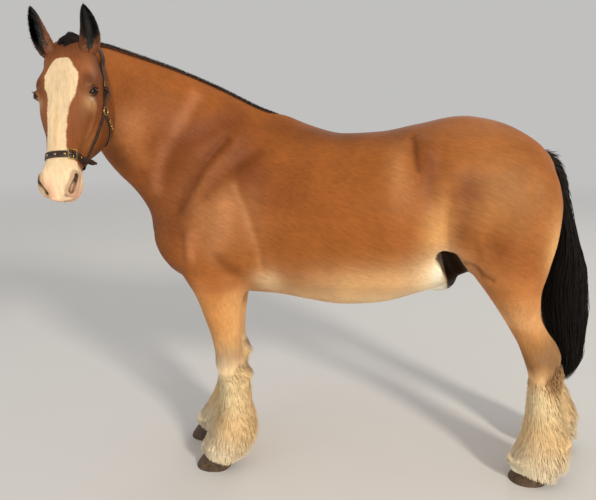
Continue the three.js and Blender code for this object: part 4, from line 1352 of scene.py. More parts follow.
class Surface:
    """The skin's faces, to plant hair on."""

    def __init__(self, piece, skin):
        mesh = piece.data
        mesh.calc_loop_triangles()
        self.corners = read(mesh.loop_triangles, "vertices", np.int32)
        self.points = unplace(coordinates(mesh))
        self.normals = normals(mesh)
        a, b, c = (self.points[self.corners[:, i]] for i in range(3))
        self.middles = (a + b + c) / 3
        self.areas = np.linalg.norm(np.cross(b - a, c - a), axis=1) / 2
        self.head = skin.headness(self.middles)

    def plant(self, density):
        """Random places with about `density` of them for each square mm, and the way out of the skin."""
        wanted = self.areas * density
        ends = np.cumsum(wanted)
        total = int(ends[-1])
        i = np.searchsorted(ends, rng.uniform(0, ends[-1], total))
        i = np.minimum(i, len(self.corners) - 1)
        u, v = rng.uniform(size=(2, total))
        flip = u + v > 1
        u, v = np.where(flip, 1 - u, u), np.where(flip, 1 - v, v)
        weight = np.stack([1 - u - v, u, v], 1)[..., None]
        corner = self.corners[i]
        out = unit((self.normals[corner] * weight).sum(1))
        return (self.points[corner] * weight).sum(1), out, self.head[i]


def coat_length(points, head):
    """How long the short coat is at places on the body."""
    side = folded(points)
    length = np.full(len(points), 17.0)
    for middle, reach, more in [
        [(-100, 100, 820), (500, 330, 60), 12], [(-480, 270, 900), (90, 120, 90), 16],
        [(240, 200, 930), (140, 200, 90), 14], [(755, 60, 1150), (70, 90, 260), 20],
        [(-980, 0, 1050), (80, 60, 120), 8], [(-1090, 250, 1480), (90, 160, 200), 8],
        [(308, 0, 880), (90, 60, 50), 12],
    ]:
        length += more * np.exp(-(((side - middle) / reach)**2).sum(1))
    return length * (1 - head) + 8.5 * head


def short_coat(surface, material):
    side = folded(surface.middles)
    low = surface.middles[:, 2]
    feathered = smooth(low, 330, 280)
    local = folded(to_head(surface.middles))
    bare = bell(local, EYE_RIM, (34, 30, 24))
    bare = np.maximum(bare, smooth(from_nostril(local, 20), 24, 15))
    bare = np.maximum(bare, smooth(local[:, 0], 560, 600) * 0.7)
    density = (0.0046 * (1 - surface.head) + 0.028 * surface.head * (1 - np.clip(bare * 1.6, 0, 1)))
    density *= (1 - feathered) * (1 - groin_shade(side))
    density *= 1 + 0.8 * smooth(low, 720, 640) * (1 - surface.head)
    root, out, head = surface.plant(density)
    count = len(root)
    way = hair_way(root, out, head)
    way = unit(way + 0.16 * rng.normal(size=(count, 3)))
    way = unit(way - (way * out).sum(1, keepdims=True) * out)
    length = coat_length(root, head) * rng.uniform(0.75, 1.2, count)
    lift = (0.02 + 0.05 * rng.uniform(size=count))[:, None]
    long = length[:, None]
    root = root - out * 0.6
    control = root + long * (0.5 * way + out * lift * 0.75)
    tip = root + long * (way + out * lift * 0.55)
    width = (3.3 * (1 - head) + 1.6 * head) * rng.uniform(0.7, 1.25, count)
    tone = coat_colour(root, head) * rng.uniform(0.97, 1.1, (count, 1))
    return grow("coat", bent(root, control, tip, 3), width, out, tone, material, tone * 1.04,
                flat=0.1, follow=0.97)


def around(leg, shape, height, angle):
    """Points round a lower leg at a height: `angle` runs from its front."""
    front, back, middle, half, square = shape(height).T
    c, s = np.cos(angle), np.sin(angle)
    forward = np.sign(c) * np.abs(c)**(2 / square) * (back - front) / 2
    side = np.sign(s) * np.abs(s)**(2 / square) * half
    return col((front + back) / 2 + leg.swing(height) - forward, leg.side * middle + side, height)


def rim(leg, behind):
    """How high the fringe ends over the hoof, where `behind` runs from 0 in front to 1 at the heel."""
    low, front, heel = (26, 60, 34) if leg.fore else (8, 74, 46)
    return low + front * (1 - behind)**1.5 + heel * smooth(behind, 0.7, 1)


def feather_core(leg, material):
    """The woolly depth of the feather, under its locks."""
    top = 440 if leg.fore else 490
    z = np.concatenate([np.linspace(46, 110, 16), np.linspace(120, top, 60)])
    angle = np.linspace(0, 2 * np.pi, 72, endpoint=False)
    rings = []
    for height in z:
        tall = np.full(72, height)
        behind = (1 - np.cos(angle)) / 2
        inner = around(leg, leg.skin, tall, angle)
        outer = around(leg, leg.feather, tall, angle)
        share = 0.8 * smooth(tall, top, top - 190) * (0.62 + 0.38 * smooth(tall, 60, 190))
        clump = 0.08 * wave(inner, 26, 3) * smooth(tall, top, top - 100)
        ring = inner + (outer - inner) * (share + clump)[:, None]
        ring -= 9 * smooth(height, top - 60, top) * unit(inner - leg.centre(tall))
        ring[:, 2] += (rim(leg, behind) - 32) * smooth(tall, 140, 50)
        rings.append(ring)
    points, faces = loft(np.array(rings))
    core = mesh_object(leg.name + "_wool", place(points), faces, material)
    head = np.zeros(len(points))
    paint(core.data, points, coat_colour(points, head) * (1.0, 0.93, 0.82), head)
    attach(core, "root")


FEATHER_LOCKS = 8300


def feather(leg, number, seed, material):
    """The long hair of a lower leg: roots on the leg, tips out at the feather's outline further down."""
    r = np.random.default_rng(seed)
    fore = leg.skin is fore_skin
    top, front_top = (560, 500) if fore else (600, 520)
    angle = r.uniform(0, 2 * np.pi, number)
    behind = (1 - np.cos(angle)) / 2
    highest = front_top + (top - front_top) * smooth(behind, 0.35, 0.9)
    ends = highest - 60 * np.abs(r.normal(size=number)) * (1 - 0.6 * behind)
    z = 60 + (ends - 60) * r.uniform(size=number)**0.92
    lowest = rim(leg, behind)
    length = 40 + 66 * behind * smooth(z, 560, 380) + 44 * smooth(z, 190, 70)
    length *= r.uniform(0.75, 1.15, number)
    full = np.maximum(smooth(z, highest, highest - 150), smooth(behind, 0.55, 0.85))
    length *= 0.55 + 0.45 * full
    low = np.maximum(z - length * 0.94, lowest + 14 * r.uniform(size=number)**2)
    z = np.maximum(z, low + 14)
    base = around(leg, leg.skin, np.maximum(z, 40), angle)
    reach_at = np.maximum(low, 38)
    outline = around(leg, leg.feather, reach_at, angle)
    inner = around(leg, leg.skin, reach_at, angle)
    started = around(leg, leg.feather, np.maximum(z, 40), angle)
    spread = 0.78 + 0.24 * r.uniform(size=number)**0.7
    spread = (spread * (0.6 + 0.4 * full))[:, None]
    # Tufts hang together: whole clumps stand out a little more or less.
    spread *= 1 + 0.05 * wave(base, 20, seed)[:, None]
    tip = inner + (outline - inner) * spread
    tip[:, 2] = low
    out = unit((base - leg.centre(z)) * (1, 1, 0))
    tip += 3 * r.normal(size=(number, 3)) * (1, 1, 0.4)
    tip += 6 * wave(base, 18, seed)[:, None] * np.cross(out, [0, 0, 1])
    deep = r.uniform(0.35, 0.95, number)[:, None] * smooth(z, highest + 5, highest - 90)[:, None]
    root = base + (started - base) * deep * 0.62 - out * 4
    fluff = (1 + (3 + 7 * spread[:, 0]) * full)[:, None]
    control = (root + tip) / 2 + out * fluff + col(0, 0, 0.12 * (z - low))
    paths = bent(root, control, tip, 4)
    sway = (2.4 * np.sin(np.linspace(0, 1, 4)[None] * 5 + r.uniform(0, 6.28, (number, 1))))[..., None]
    side = np.cross(out, [0, 0, 1])[:, None]
    paths += sway * side * np.linspace(0, 1, 4)[None, :, None]
    width = r.uniform(2.4, 5.4, number)
    tone = coat_colour(base, np.zeros(number)) * r.uniform(0.9, 1.08, (number, 1))
    tip_tone = tone * 0.8 + 0.2 * srgb((226, 186, 130))
    return grow(leg.name + "_feather", paths, width, out, tone, material, tip_tone, flat=0.25, follow=0.88)


tail_shape = through([
    [425, 920, 945, 10], [470, 905, 975, 34], [580, 868, 1004, 62], [720, 822, 1004, 84],
    [840, 790, 1000, 96], [940, 796, 990, 94], [1040, 818, 966, 88], [1120, 832, 944, 70],
    [1195, 846, 918, 46], [1290, 838, 892, 36], [1380, 812, 866, 34], [1450, 776, 838, 33],
    [1500, 730, 800, 30],
])
dock_line = Curve([(690, 0, 1496), (765, 0, 1488), (823, 0, 1420), (858, 0, 1310), (872, 0, 1180),
                   (882, 0, 1070)])


def tail(material):
    """Long locks from the dock, filling the tail's outline, round a darker core."""
    r = np.random.default_rng(31)
    number = 3400
    share = 0.3 + 0.7 * r.uniform(size=number)**0.8
    root = dock_line.at(share)
    along = dock_line.along(share)
    angle = r.uniform(0, 2 * np.pi, number)
    back = np.cross([0, 1.0, 0], along)
    out = np.cos(angle)[:, None] * back + np.sin(angle)[:, None] * np.array([0, 1.0, 0])
    out = unit(out)
    root = root + out * (24 - 8 * share)[:, None]
    end = 432 + 520 * r.uniform(size=number)**2.1
    end = np.minimum(end, root[:, 2] - 120)
    radius = r.uniform(size=number)**0.45
    turn = np.arctan2(out[:, 1], out[:, 0]) + 0.35 * r.normal(size=number)
    rings = 9
    t = np.linspace(0, 1, rings)
    z = root[:, 2:] + (end - root[:, 2])[:, None] * t[None]**0.95
    front, behind, half = np.moveaxis(tail_shape(z.ravel()).reshape(number, rings, 3), 2, 0)
    drift = turn[:, None] + 0.5 * t[None]**2 * r.normal(size=(number, 1))
    x = (front + behind) / 2 + np.cos(drift) * radius[:, None] * (behind - front) / 2
    y = np.sin(drift) * radius[:, None] * half
    wander = 7 * np.sin(t[None] * r.uniform(5, 9, (number, 1)) + r.uniform(0, 6.28, (number, 1))) * t[None]
    x += wander + 4 * wave(np.stack([x, y, z], -1).reshape(-1, 3), 60, 8).reshape(number, rings)
    y += 7 * np.cos(t[None] * r.uniform(5, 9, (number, 1)) + r.uniform(0, 6.28, (number, 1))) * t[None]
    blend = smooth(t, 0.0, 0.3)[None, :, None]
    free = np.stack([x, y, z], -1)
    hang = root[:, None] + np.array([0, 0, -1.0]) * (root[:, 2:3] - z)[..., None] + out[:, None] * 4
    paths = hang * (1 - blend) + free * blend
    paths[:, 0] = root - out * 4
    tone = np.tile(srgb((15, 11, 8)), (number, 1)) * r.uniform(0.6, 1.6, (number, 1))
    width = r.uniform(4.5, 9.5, number)
    taper = np.linspace(0.8, 0.28, rings)[:-1]
    locks = grow("tail_locks", paths, width, out, tone, material, tone * 1.25, taper=taper, flat=0.4)

    number = 1500
    share = r.uniform(0.0, 0.75, number)
    along = dock_line.along(share)
    angle = r.uniform(0, 2 * np.pi, number)
    back = np.cross(SIDEWAYS, along)
    out = unit(np.cos(angle)[:, None] * back + np.sin(angle)[:, None] * np.array(SIDEWAYS))
    root = dock_line.at(share) + out * (24 - 6 * share)[:, None]
    way = unit(along + 0.08 * r.normal(size=(number, 3)))
    long = r.uniform(40, 80, number)[:, None]
    paths = bent(root - out * 3, root + way * long * 0.5 + out * 3, root + way * long, 4)
    tone = np.tile(srgb((36, 30, 26)), (number, 1)) * r.uniform(0.7, 1.4, (number, 1))
    return locks + grow("dock_hair", paths, r.uniform(3, 6, number), out, tone, material)


def tail_core(material):
    z = np.linspace(500, 1180, 40)
    front, back, half = tail_shape(z).T
    depth = (back - front) * 0.33
    points, faces = loft(ovals(col((front + back) / 2, 0, z), (1, 0, 0), SIDEWAYS,
                               depth, depth, half * 0.66, count=32))
    core = mesh_object("tail_core", place(points), faces, material)
    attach(core, "root")
    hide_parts("tail_hair")
    return [core]


def dock(material):
    share = np.linspace(0, 1, 40)
    along = dock_line.along(share)
    up = unit(np.cross(SIDEWAYS, along))
    radius = 31 - 11 * share
    points, faces = loft(ovals(dock_line.at(share), up, SIDEWAYS, radius * 0.8, radius * 0.8, radius))
    piece = mesh_object("dock", place(points), faces, material)
    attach(piece, "root")
    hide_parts("tail")
    return [piece]


def mane(material):
    """A hogged mane: a thin ridge of short black bristles along the crest."""
    r = np.random.default_rng(41)
    number = 5200
    share = 0.115 + 0.79 * r.uniform(size=number)
    centre, up, side, reach = neck_frame(share)
    across = r.normal(size=number) * 0.42
    across = np.clip(across, -1, 1)
    root = centre + up * (reach - 8 - 4 * np.abs(across))[:, None] + side * (across * 12)[:, None]
    long = 16 * (1 - 0.5 * across**2) * r.uniform(0.7, 1.05, number) * smooth(share, 0.1, 0.2)**0.5 + 7
    lean = unit(up + side * (0.5 * across)[:, None] - 0.25 * crest_line.along(share)
                + 0.12 * r.normal(size=(number, 3)))
    tip = root + lean * long[:, None]
    control = root + up * (long * 0.5)[:, None]
    out = side * np.sign(across + 1e-6)[:, None]
    tone = np.tile(srgb((34, 26, 21)), (number, 1)) * r.uniform(0.6, 1.5, (number, 1))
    brown = srgb((92, 54, 32)) * r.uniform(0.7, 1.1, (number, 1))
    tone = np.where((np.abs(across) > 0.62)[:, None], brown, tone)
    pieces = grow("mane_hair", bent(root, control, tip, 3), r.uniform(1.6, 3.0, number), out, tone, material)
    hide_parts("mane")
    return pieces


def forelock(material):
    """The clipped forelock: a short black tuft between the ears, combed down to the forehead."""
    r = np.random.default_rng(43)
    number = 1700
    angle, radius = r.uniform(0, 2 * np.pi, number), r.uniform(size=number)**0.5
    base = np.stack([-6 + 24 * radius * np.cos(angle), 16 + 34 * radius * np.sin(angle),
                     50 - 8 * radius**2], -1)
    out = unit(np.stack([0.15 * np.cos(angle) * radius, 0.5 * np.sin(angle) * radius, np.ones(number)], -1))
    clumps = wave(base, 11, 9)
    long = (34 - 10 * radius + 6 * clumps) * r.uniform(0.6, 1.1, number)
    over = smooth(base[:, 1], 34, -4)[:, None]
    way = unit(0.5 * out + over * (0.95, -0.6, 0) + (1 - over) * (0.0, -0.75, 0)
               + 0.14 * np.stack([clumps, -clumps, 0 * clumps], -1) + 0.12 * r.normal(size=(number, 3)))
    root, tip = from_head(base - out * 6), from_head(base + way * long[:, None])
    control = from_head(base + out * (long * 0.55)[:, None])
    tone = np.tile(srgb((34, 29, 26)), (number, 1)) * r.uniform(0.6, 1.5, (number, 1))
    pieces = grow("forelock_hair", bent(root, control, tip, 5), r.uniform(2.0, 3.6, number),
                  out @ HEAD.T, tone, material, follow=0.75)
    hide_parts("forelock")
    return pieces


# ---- ears ----

EAR_LENGTH, EAR_WALL = 170, 4.5
EAR_ROOT = {LEFT: (38, 84, 34), RIGHT: (38, -80, 34)}
EAR_TIP = {LEFT: (-124, 74, 98), RIGHT: (-98, -112, 130)}
EAR_OPENING = {LEFT: (0.35, 0.45, 0.82), RIGHT: (0.3, -0.45, 0.85)}
# [share of the ear, half width, reach to the back, reach of the rims to the front, how far the rims close]
ear_shape = through([
    [-0.25, 24, 18, 8, 3.1], [-0.1, 31, 25, 13, 3.1], [0.04, 36, 31, 16, 3.08], [0.14, 38, 32, 19, 3.0],
    [0.24, 38.5, 31, 21, 2.72], [0.33, 38, 30, 22, 2.42], [0.45, 35, 26, 18, 2.2],
    [0.62, 30, 22, 14, 2.05], [0.78, 23, 16, 10, 1.95],
    [0.9, 14, 10, 6.5, 1.9], [0.97, 6.5, 5, 3.5, 1.85], [1, 1.5, 2, 1.5, 1.8],
])


def ear_axes(side):
    root, tip = np.array(EAR_ROOT[side], float), np.array(EAR_TIP[side], float)
    along = unit(tip - root)
    across = unit(np.cross(along, EAR_OPENING[side]))
    return root, along, across, np.cross(across, along)


def ear_point(side, share, angle, inset=0.0):
    """Points of an ear in the head's frame: `angle` runs round it from the middle of its back."""
    root, along, across, opening = ear_axes(side)
    half, back, rim, _ = ear_shape(share).T
    bow = np.sin(np.pi * np.clip(share, 0, 1))[:, None]
    centre = root + along * (EAR_LENGTH * share)[:, None]
    centre = centre + bow * (-10 * opening + np.array([0, -side * 13, 0]))
    centre = centre + np.maximum(-share, 0)[:, None] * np.array([0, side * 130, -60])
    c, s = np.cos(angle), np.sin(angle)
    reach = np.where(c > 0, np.maximum(back - inset, 0.4), np.maximum(rim - inset * 0.4, 0.3))
    wide = np.maximum(half - inset, 0.5)
    return centre - opening * (c * reach)[:, None] + across * (s * wide)[:, None]


def ear(side):
    """One ear as a leaf rolled round its hollow, with a wall of its own thickness."""
    steps, sides = 44, 40
    share = np.linspace(-0.25, 1, steps)
    close = ear_shape(share)[:, 3]
    turn = np.linspace(-1, 1, sides)
    outer = [ear_point(side, np.full(sides, s), turn * c) for s, c in zip(share, close)]
    inner = [ear_point(side, np.full(sides, s), turn[::-1] * (c - 0.05), EAR_WALL * (1 - 0.6 * max(s, 0)))
             for s, c in zip(share, close)]
    points, faces = loft(np.concatenate([np.array(outer), np.array(inner)], axis=1))
    return points, faces, ear_tone(2 * sides, steps)


def ear_tone(count, steps):
    """Brown at the root and outside, dark inside and along the rims."""
    ring = np.arange(count) / count
    inside = (ring > 0.5).astype(float)
    edge = np.exp(-(np.minimum(np.abs(ring - 0.5), np.minimum(ring, 1 - ring)) / 0.055)**2)
    share = np.linspace(-0.25, 1, steps)[:, None]
    dark = np.clip(np.maximum(edge * smooth(share, 0.05, 0.35), inside), 0, 1)
    dark = np.maximum(dark, smooth(share, 0.5, 0.95) * 0.9)
    dark = np.append(dark.ravel(), [0, 1])
    brown, black = srgb((120, 72, 42)), srgb((13, 10, 9))
    return brown + (black - brown) * dark[:, None]


def ears(material, coat):
    """Both ears, with the fuzz inside them and along their rims."""
    r = np.random.default_rng(51)
    pieces = []
    for side, word in ((LEFT, "left"), (RIGHT, "right")):
        points, faces, tone = ear(side)
        points = from_head(points)
        piece = mesh_object(f"ear_shell_{word}", place(points), faces, coat)
        paint(piece.data, points, tone, np.ones(len(points)))
        pieces.append(piece)
        ear_hair(side, word, r, material)
    return pieces


def ear_hair(side, word, r, material):
    opening = ear_axes(side)[3]
    hair = []
    for kind, number in (("back", 2100), ("rim", 1200), ("inside", 900), ("root", 1200)):
        share = r.uniform(-0.02, 0.985, number)
        if kind == "root":
            share = r.uniform(-0.12, 0.2, number)
        close = ear_shape(share)[:, 3]
        if kind in ("back", "root"):
            angle, inset = r.uniform(-0.95, 0.95, number) * close, 0.0
        elif kind == "rim":
            angle, inset = close * r.choice([-1, 1], number) * r.uniform(0.93, 1, number), 1.0
        else:
            share = r.uniform(0.05, 0.75, number)
            close = ear_shape(share)[:, 3]
            angle, inset = close * r.choice([-1, 1], number) * r.uniform(0.4, 1, number), 5.0
        base = ear_point(side, share, angle, inset)
        further = ear_point(side, np.minimum(share + 0.02, 1), angle, inset)
        lengthwise = unit(further - base)
        back, front = (ear_point(side, share, angle * 0 + turn) for turn in (0, np.pi))
        middle = back * 0.5 + front * 0.5
        out = unit(base - middle)
        if kind == "inside":
            way = unit(0.9 * lengthwise + 0.9 * opening - 0.3 * out + 0.25 * r.normal(size=base.shape))
            long = r.uniform(12, 26, number)
            tone = srgb((20, 16, 14)) * r.uniform(0.6, 1.8, (number, 1))
        elif kind == "rim":
            inward = unit(np.cross(lengthwise, out)) * np.sign(angle)[:, None]
            way = unit(0.9 * lengthwise + 0.5 * opening - 0.1 * inward + 0.2 * r.normal(size=base.shape))
            long = r.uniform(7, 14, number)
            tone = srgb((24, 20, 18)) * r.uniform(0.7, 1.4, (number, 1))
        else:
            way = unit(lengthwise + 0.08 * out + 0.1 * r.normal(size=base.shape))
            long = r.uniform(6, 10, number) * (1 + 0.5 * (kind == "root"))
            edge = smooth(np.abs(angle) / close, 0.6, 0.95) * smooth(share, 0.1, 0.35)
            dark = np.clip(edge + smooth(share, 0.5, 0.9) * 0.9, 0, 1)[:, None]
            tone = srgb((126, 76, 44)) * (1 - dark) + srgb((24, 20, 18)) * dark
            tone = tone * r.uniform(0.85, 1.15, (number, 1))
        root = from_head(base - out * 0.8)
        tip = from_head(base + way * long[:, None])
        control = from_head(base + (way + 0.15 * out) * long[:, None] * 0.5)
        paths = bent(root, control, tip, 3)
        hair.append((paths, r.uniform(0.9, 1.7, number), out @ HEAD.T, tone))
    paths, width, out, tone = (np.concatenate([h[k] for h in hair]) for k in range(4))
    for piece in grow(f"ear_hair_{word}", paths, width, out, tone, material, flat=0.2, follow=0.85):
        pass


# ---- eyes ----

# The eye's own frame, in the head's: out of the eye, along its opening, and up to the brow.
def eye_axes(side):
    out = unit(np.array([0.17, 0.84, 0.5]))
    along = unit(np.array([-0.6, 0.22, -0.75]))
    along = unit(along - (along @ out) * out)
    up = np.cross(out, along)
    up = up if up[2] > 0 else -up
    flip = np.array([1, -side, 1])
    return out * flip, along * flip, up * flip


def eye_centre(side):
    return np.array([EYE_DOWN, -side * EYE_SIDE, EYE_OUT])


OPEN_HALF, OPEN_UP, OPEN_DOWN = 21.5, 11.0, 8.5


def opening_edge(angle):
    """The edge of the eye's opening, as places along it and up, in mm."""
    c, s = np.cos(angle), np.sin(angle)
    along = OPEN_HALF * np.sign(c) * np.abs(c)**0.92
    up = np.where(s > 0, OPEN_UP, OPEN_DOWN) * np.sign(s) * np.abs(s)**1.15
    up = up + 1.5 * c  # the front corner lies a little lower
    return along, up


def over_ball(side, along, up, over):
    """Points at `along` and `up` of the eye's middle, `over` above the eyeball."""
    out_way, along_way, up_way = eye_axes(side)
    high = np.sqrt(np.maximum((EYE_RADIUS + over)**2 - along**2 - up**2, 9))
    return (eye_centre(side) + along[..., None] * along_way + up[..., None] * up_way
            + high[..., None] * out_way)


# How far each ring of the lids is from the opening, and how high it is over the eyeball.
LID_RINGS = [(-0.9, -0.9), (-0.6, 0.5), (0.3, 1.5), (1.5, 2.1), (3.0, 2.3), (4.6, 2.1), (6.2, 1.7),
             (8.0, 1.6), (10, 1.6), (12.4, 1.5), (15.2, 1.4), (18.4, 1.2), (22, 1.0), (26, 0.8), (29, 0.8)]


def eyelids(tree):
    """Rings of skin from the eye's opening out to the face, for both eyes, in the head's frame."""
    all_points, all_faces = [], []
    sides = 80
    angle = np.arange(sides) / sides * 2 * np.pi
    for side in (LEFT, RIGHT):
        base = sum(len(p) for p in all_points)
        out_way = eye_axes(side)[0]
        along, up = opening_edge(angle)
        way = unit(np.stack([along / OPEN_HALF**1.2, up / OPEN_UP**1.2], -1))
        upper = smooth(np.sin(angle), -0.2, 0.5)
        rings = []
        for away, height in LID_RINGS:
            fold = (0.3 + 1.5 * upper) * np.exp(-((away - 6.4) / 1.5)**2)
            a, b = along + way[:, 0] * away, up + way[:, 1] * away
            lid = over_ball(side, a, b, height - fold)
            face = onto_skin(tree, side, lid)
            share = smooth(np.array([away]), 1.0, 22.0)[0]
            sink = 0.3 if away < 27 else -0.8
            rings.append(lid * (1 - share) + (face + out_way * sink) * share)
        all_points.append(np.concatenate(rings))
        quads = base + ring_quads(len(rings), sides)
        all_faces.append(quads if side == RIGHT else quads[:, ::-1])
    return np.concatenate(all_points), np.concatenate(all_faces)


def onto_skin(tree, side, points):
    """Where lines through points, straight into the eye, meet the skin."""
    out_way = eye_axes(side)[0]
    way = Vector(-out_way @ HEAD.T)
    found = []
    for p in points:
        hit = tree.ray_cast(Vector(from_head(p + out_way * 60)), way)
        found.append(to_head(np.array(hit[0])) if hit[0] else p)
    return np.array(found)


def socket(points_local):
    """How deep the skin is drawn in under the eyelids, in mm, for points folded in the head's frame."""
    out_way, along_way, up_way = eye_axes(LEFT)
    flat = points_local - eye_centre(LEFT)
    a, b, c = flat @ along_way, flat @ up_way, flat @ out_way
    away = np.sqrt((a / (OPEN_HALF + 13))**2 + (b / (OPEN_UP + 15))**2)
    return -20 * smooth(away, 1.0, 0.6) * (c > 0)


def add_lids(tree, coat):
    points, faces = eyelids(tree)
    points, head = from_head(points), np.ones(len(points))
    piece = mesh_object("lids", place(points), faces, coat)
    paint(piece.data, points, coat_colour(points, head), head)
    return piece


def hollow_eyes(piece):
    """Draws the skin in under the eyelids."""
    points = unplace(coordinates(piece.data))
    local = to_head(points)
    near = np.flatnonzero(np.linalg.norm(folded(local) - EYE_COVER, axis=1) < 60)
    depth = socket(folded(local[near]))
    for side in (LEFT, RIGHT):
        on = local[near, 1] * -side > 0
        points[near[on]] += depth[on, None] * (eye_axes(side)[0] @ HEAD.T)
    set_coordinates(piece.data, place(points))


def join(target, others):
    bpy.ops.object.select_all(action="DESELECT")
    for piece in others:
        piece.select_set(True)
    target.select_set(True)
    bpy.context.view_layer.objects.active = target
    bpy.ops.object.join()


def eyeball(side, word):
    """A dark eye: brown iris, a pupil that lies level, and a clear front."""
    u = np.linspace(0, np.pi, 40)
    out_way, along_way, up_way = eye_axes(side)
    centre = eye_centre(side)
    radius = np.maximum(np.sin(u), 1e-3) * EYE_RADIUS
    points, faces = loft(ovals(centre + np.cos(u)[:, None] * EYE_RADIUS * out_way, up_way, along_way,
                               radius, radius, radius, count=64))
    local = points - centre
    a, b, c = local @ along_way, local @ up_way, local @ out_way
    hidden = smooth(np.sqrt((a / (OPEN_HALF + 2))**2 + (b / (OPEN_UP + 2))**2), 1.0, 1.25) * (c > 0)
    points = points - unit(local) * (7 * hidden)[:, None]
    iris = smooth(np.sqrt(a**2 + b**2), 14.5, 12.5) * (c > 0)
    pupil = smooth(np.sqrt((a / 7.5)**2 + (b / 4.2)**2), 1.08, 0.92) * (c > 0)
    white, brown, black = srgb((44, 32, 27)), srgb((32, 18, 11)), srgb((5, 4, 5))
    tone = np.tile(white, (len(points), 1))
    tone = tone + (brown - tone) * iris[:, None]
    tone = tone + (black - tone) * pupil[:, None]
    points = points + (iris * 1.1 * (1 - (a**2 + b**2) / 200))[:, None] * out_way
    m = Nodes(f"eye_{word}")
    streaks = m.noise(260.0, 2.0)
    colour = m.add("VectorMath", {"operation": "SCALE"}, i0=m.attribute("Tone"),
                   Scale=m.remap(streaks, 0.3, 0.7, 0.75, 1.25))
    material = m.set(Base_Color=colour, Roughness=0.12, Specular_IOR_Level=0.22, Coat_Weight=0.1,
                     Coat_Roughness=0.04)
    piece = mesh_object(f"eyeball_{word}", place(from_head(points)), faces, material)
    add_tone(piece.data, tone)
    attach(piece, "root")
    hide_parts(f"eye_{word}")


def lashes_and_whiskers(tree, material):
    """Lashes above and below the eyes, and the few long feelers on the lips."""
    r = np.random.default_rng(53)
    paths, outs, widths, tones = [], [], [], []
    for side in (LEFT, RIGHT):
        out_way, along_way, up_way = eye_axes(side)
        number = 170
        angle = np.concatenate([r.uniform(0.12, 0.92, 130) * np.pi, -r.uniform(0.15, 0.85, 40) * np.pi])
        along, up = opening_edge(angle)
        base = over_ball(side, along, up, 1.2)
        long = np.where(angle > 0, r.uniform(7, 11, number), r.uniform(3, 5, number))
        droop = np.where(angle > 0, -0.35, 0.1)
        way = unit(out_way * 0.85 + (0.25 * np.sign(angle) + 0 * droop)[:, None] * up_way
                   + (0.35 * along / OPEN_HALF)[:, None] * along_way + 0.08 * r.normal(size=(number, 3)))
        tip = base + (way + droop[:, None] * up_way * 0.55) * long[:, None]
        control = base + way * (0.55 * long)[:, None]
        paths.append(bent(from_head(base - out_way), from_head(control), from_head(tip), 4))
        outs.append(np.tile(up_way @ HEAD.T, (number, 1)))
        widths.append(np.full(number, 0.32))
        tones.append(np.tile(srgb((24, 19, 17)), (number, 1)))
    number = 46
    side = r.choice([-1.0, 1.0], number)
    base = np.stack([r.uniform(560, 625, number), side * r.uniform(10, 60, number),
                     r.uniform(-85, -25, number)], -1)
    root, out = [], []
    for p in from_head(base):
        near, normal, _, _ = tree.find_nearest(Vector(p))
        root.append(near)
        out.append(normal)
    root, out = np.array(root), np.array(out)
    long = r.uniform(8, 20, number)[:, None]
    way = unit(out + 0.35 * HEAD[:, 0] - 0.25 * HEAD[:, 2] + 0.15 * r.normal(size=(number, 3)))
    paths.append(bent(root - out, root + out * long * 0.4, root + way * long, 4))
    outs.append(out)
    widths.append(np.full(number, 0.35))
    tones.append(np.tile(srgb((216, 188, 158)), (number, 1)) * r.uniform(0.6, 1.1, (number, 1)))
    return grow("lashes", np.concatenate(paths), np.concatenate(widths), np.concatenate(outs),
                np.concatenate(tones), material, flat=0.8, follow=0.2)


# ---- hooves ----

HOOF_LENGTH, HOOF_WIDTH, TOE_HEIGHT, HEEL_HEIGHT = 166, 156, 98, 52


def hoof(leg):
    """A broad hoof with faint growth rings, on its ground surface."""
    heights = np.array([0, 0, 1.5, 4, 8, *np.linspace(12, 100, 30)])
    scale = np.interp(heights, [0, 4, 8, 60, 100], [0.985, 1, 1, 0.905, 0.81])
    scale[0] = 0.9
    scale += 0.006 * np.sin(heights / 3.1) * smooth(heights, 10, 30)
    centre = col(heights * 0.42, 0, 0 * heights)
    reach = HOOF_LENGTH / 2 * scale
    rings = ovals(centre, FORWARD, SIDEWAYS, reach, reach, HOOF_WIDTH / 2 * scale, 2.1, 2.6, 72)
    slope = ((HEEL_HEIGHT + TOE_HEIGHT) / 2 - rings[..., 0] / HOOF_LENGTH * (TOE_HEIGHT - HEEL_HEIGHT)) / 100
    tall = heights[:, None] * np.where(heights[:, None] > 8, slope, 1)
    # The heels part behind into two bulbs.
    cleft = np.exp(-(rings[..., 1] / 12)**2) * smooth(rings[..., 0], 20, 70)
    rings[..., 0] -= 14 * cleft
    rings[..., 2] = tall
    points, faces = loft(rings + leg.foot)
    name = leg.name.replace("leg", "hoof")
    m = Nodes(name)
    rings_noise = m.stretched_noise((60, 60, 420), 2.0)
    streak = m.stretched_noise((260, 260, 22), 3.0)
    mud = m.noise(34.0, 4.0)
    tint = m.ramp(m.math("MULTIPLY_ADD", streak, 0.55, m.math("MULTIPLY", mud, 0.45)),
                  (0.36, (46, 34, 25)), (0.64, (112, 86, 60)))
    material = m.set(Base_Color=tint, Roughness=m.remap(mud, 0.3, 0.7, 0.42, 0.75), Specular_IOR_Level=0.4,
                     Normal=m.bump(rings_noise, 0.002, 0.6))
    piece = mesh_object(name.replace("hoof", "hoof_wall"), place(points), faces, material)
    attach(piece, "root")
    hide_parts(name)


# ---- headcollar ----

STRAP_THICKNESS, NOSEBAND_WIDTH, CHEEK_WIDTH = 4.2, 26, 17
# The noseband's plane meets these points over the nose and under the jaw, in the head's frame.
NOSEBAND_TOP, NOSEBAND_LOW = np.array([490.0, 0, 100]), np.array([426.0, 0, -220])
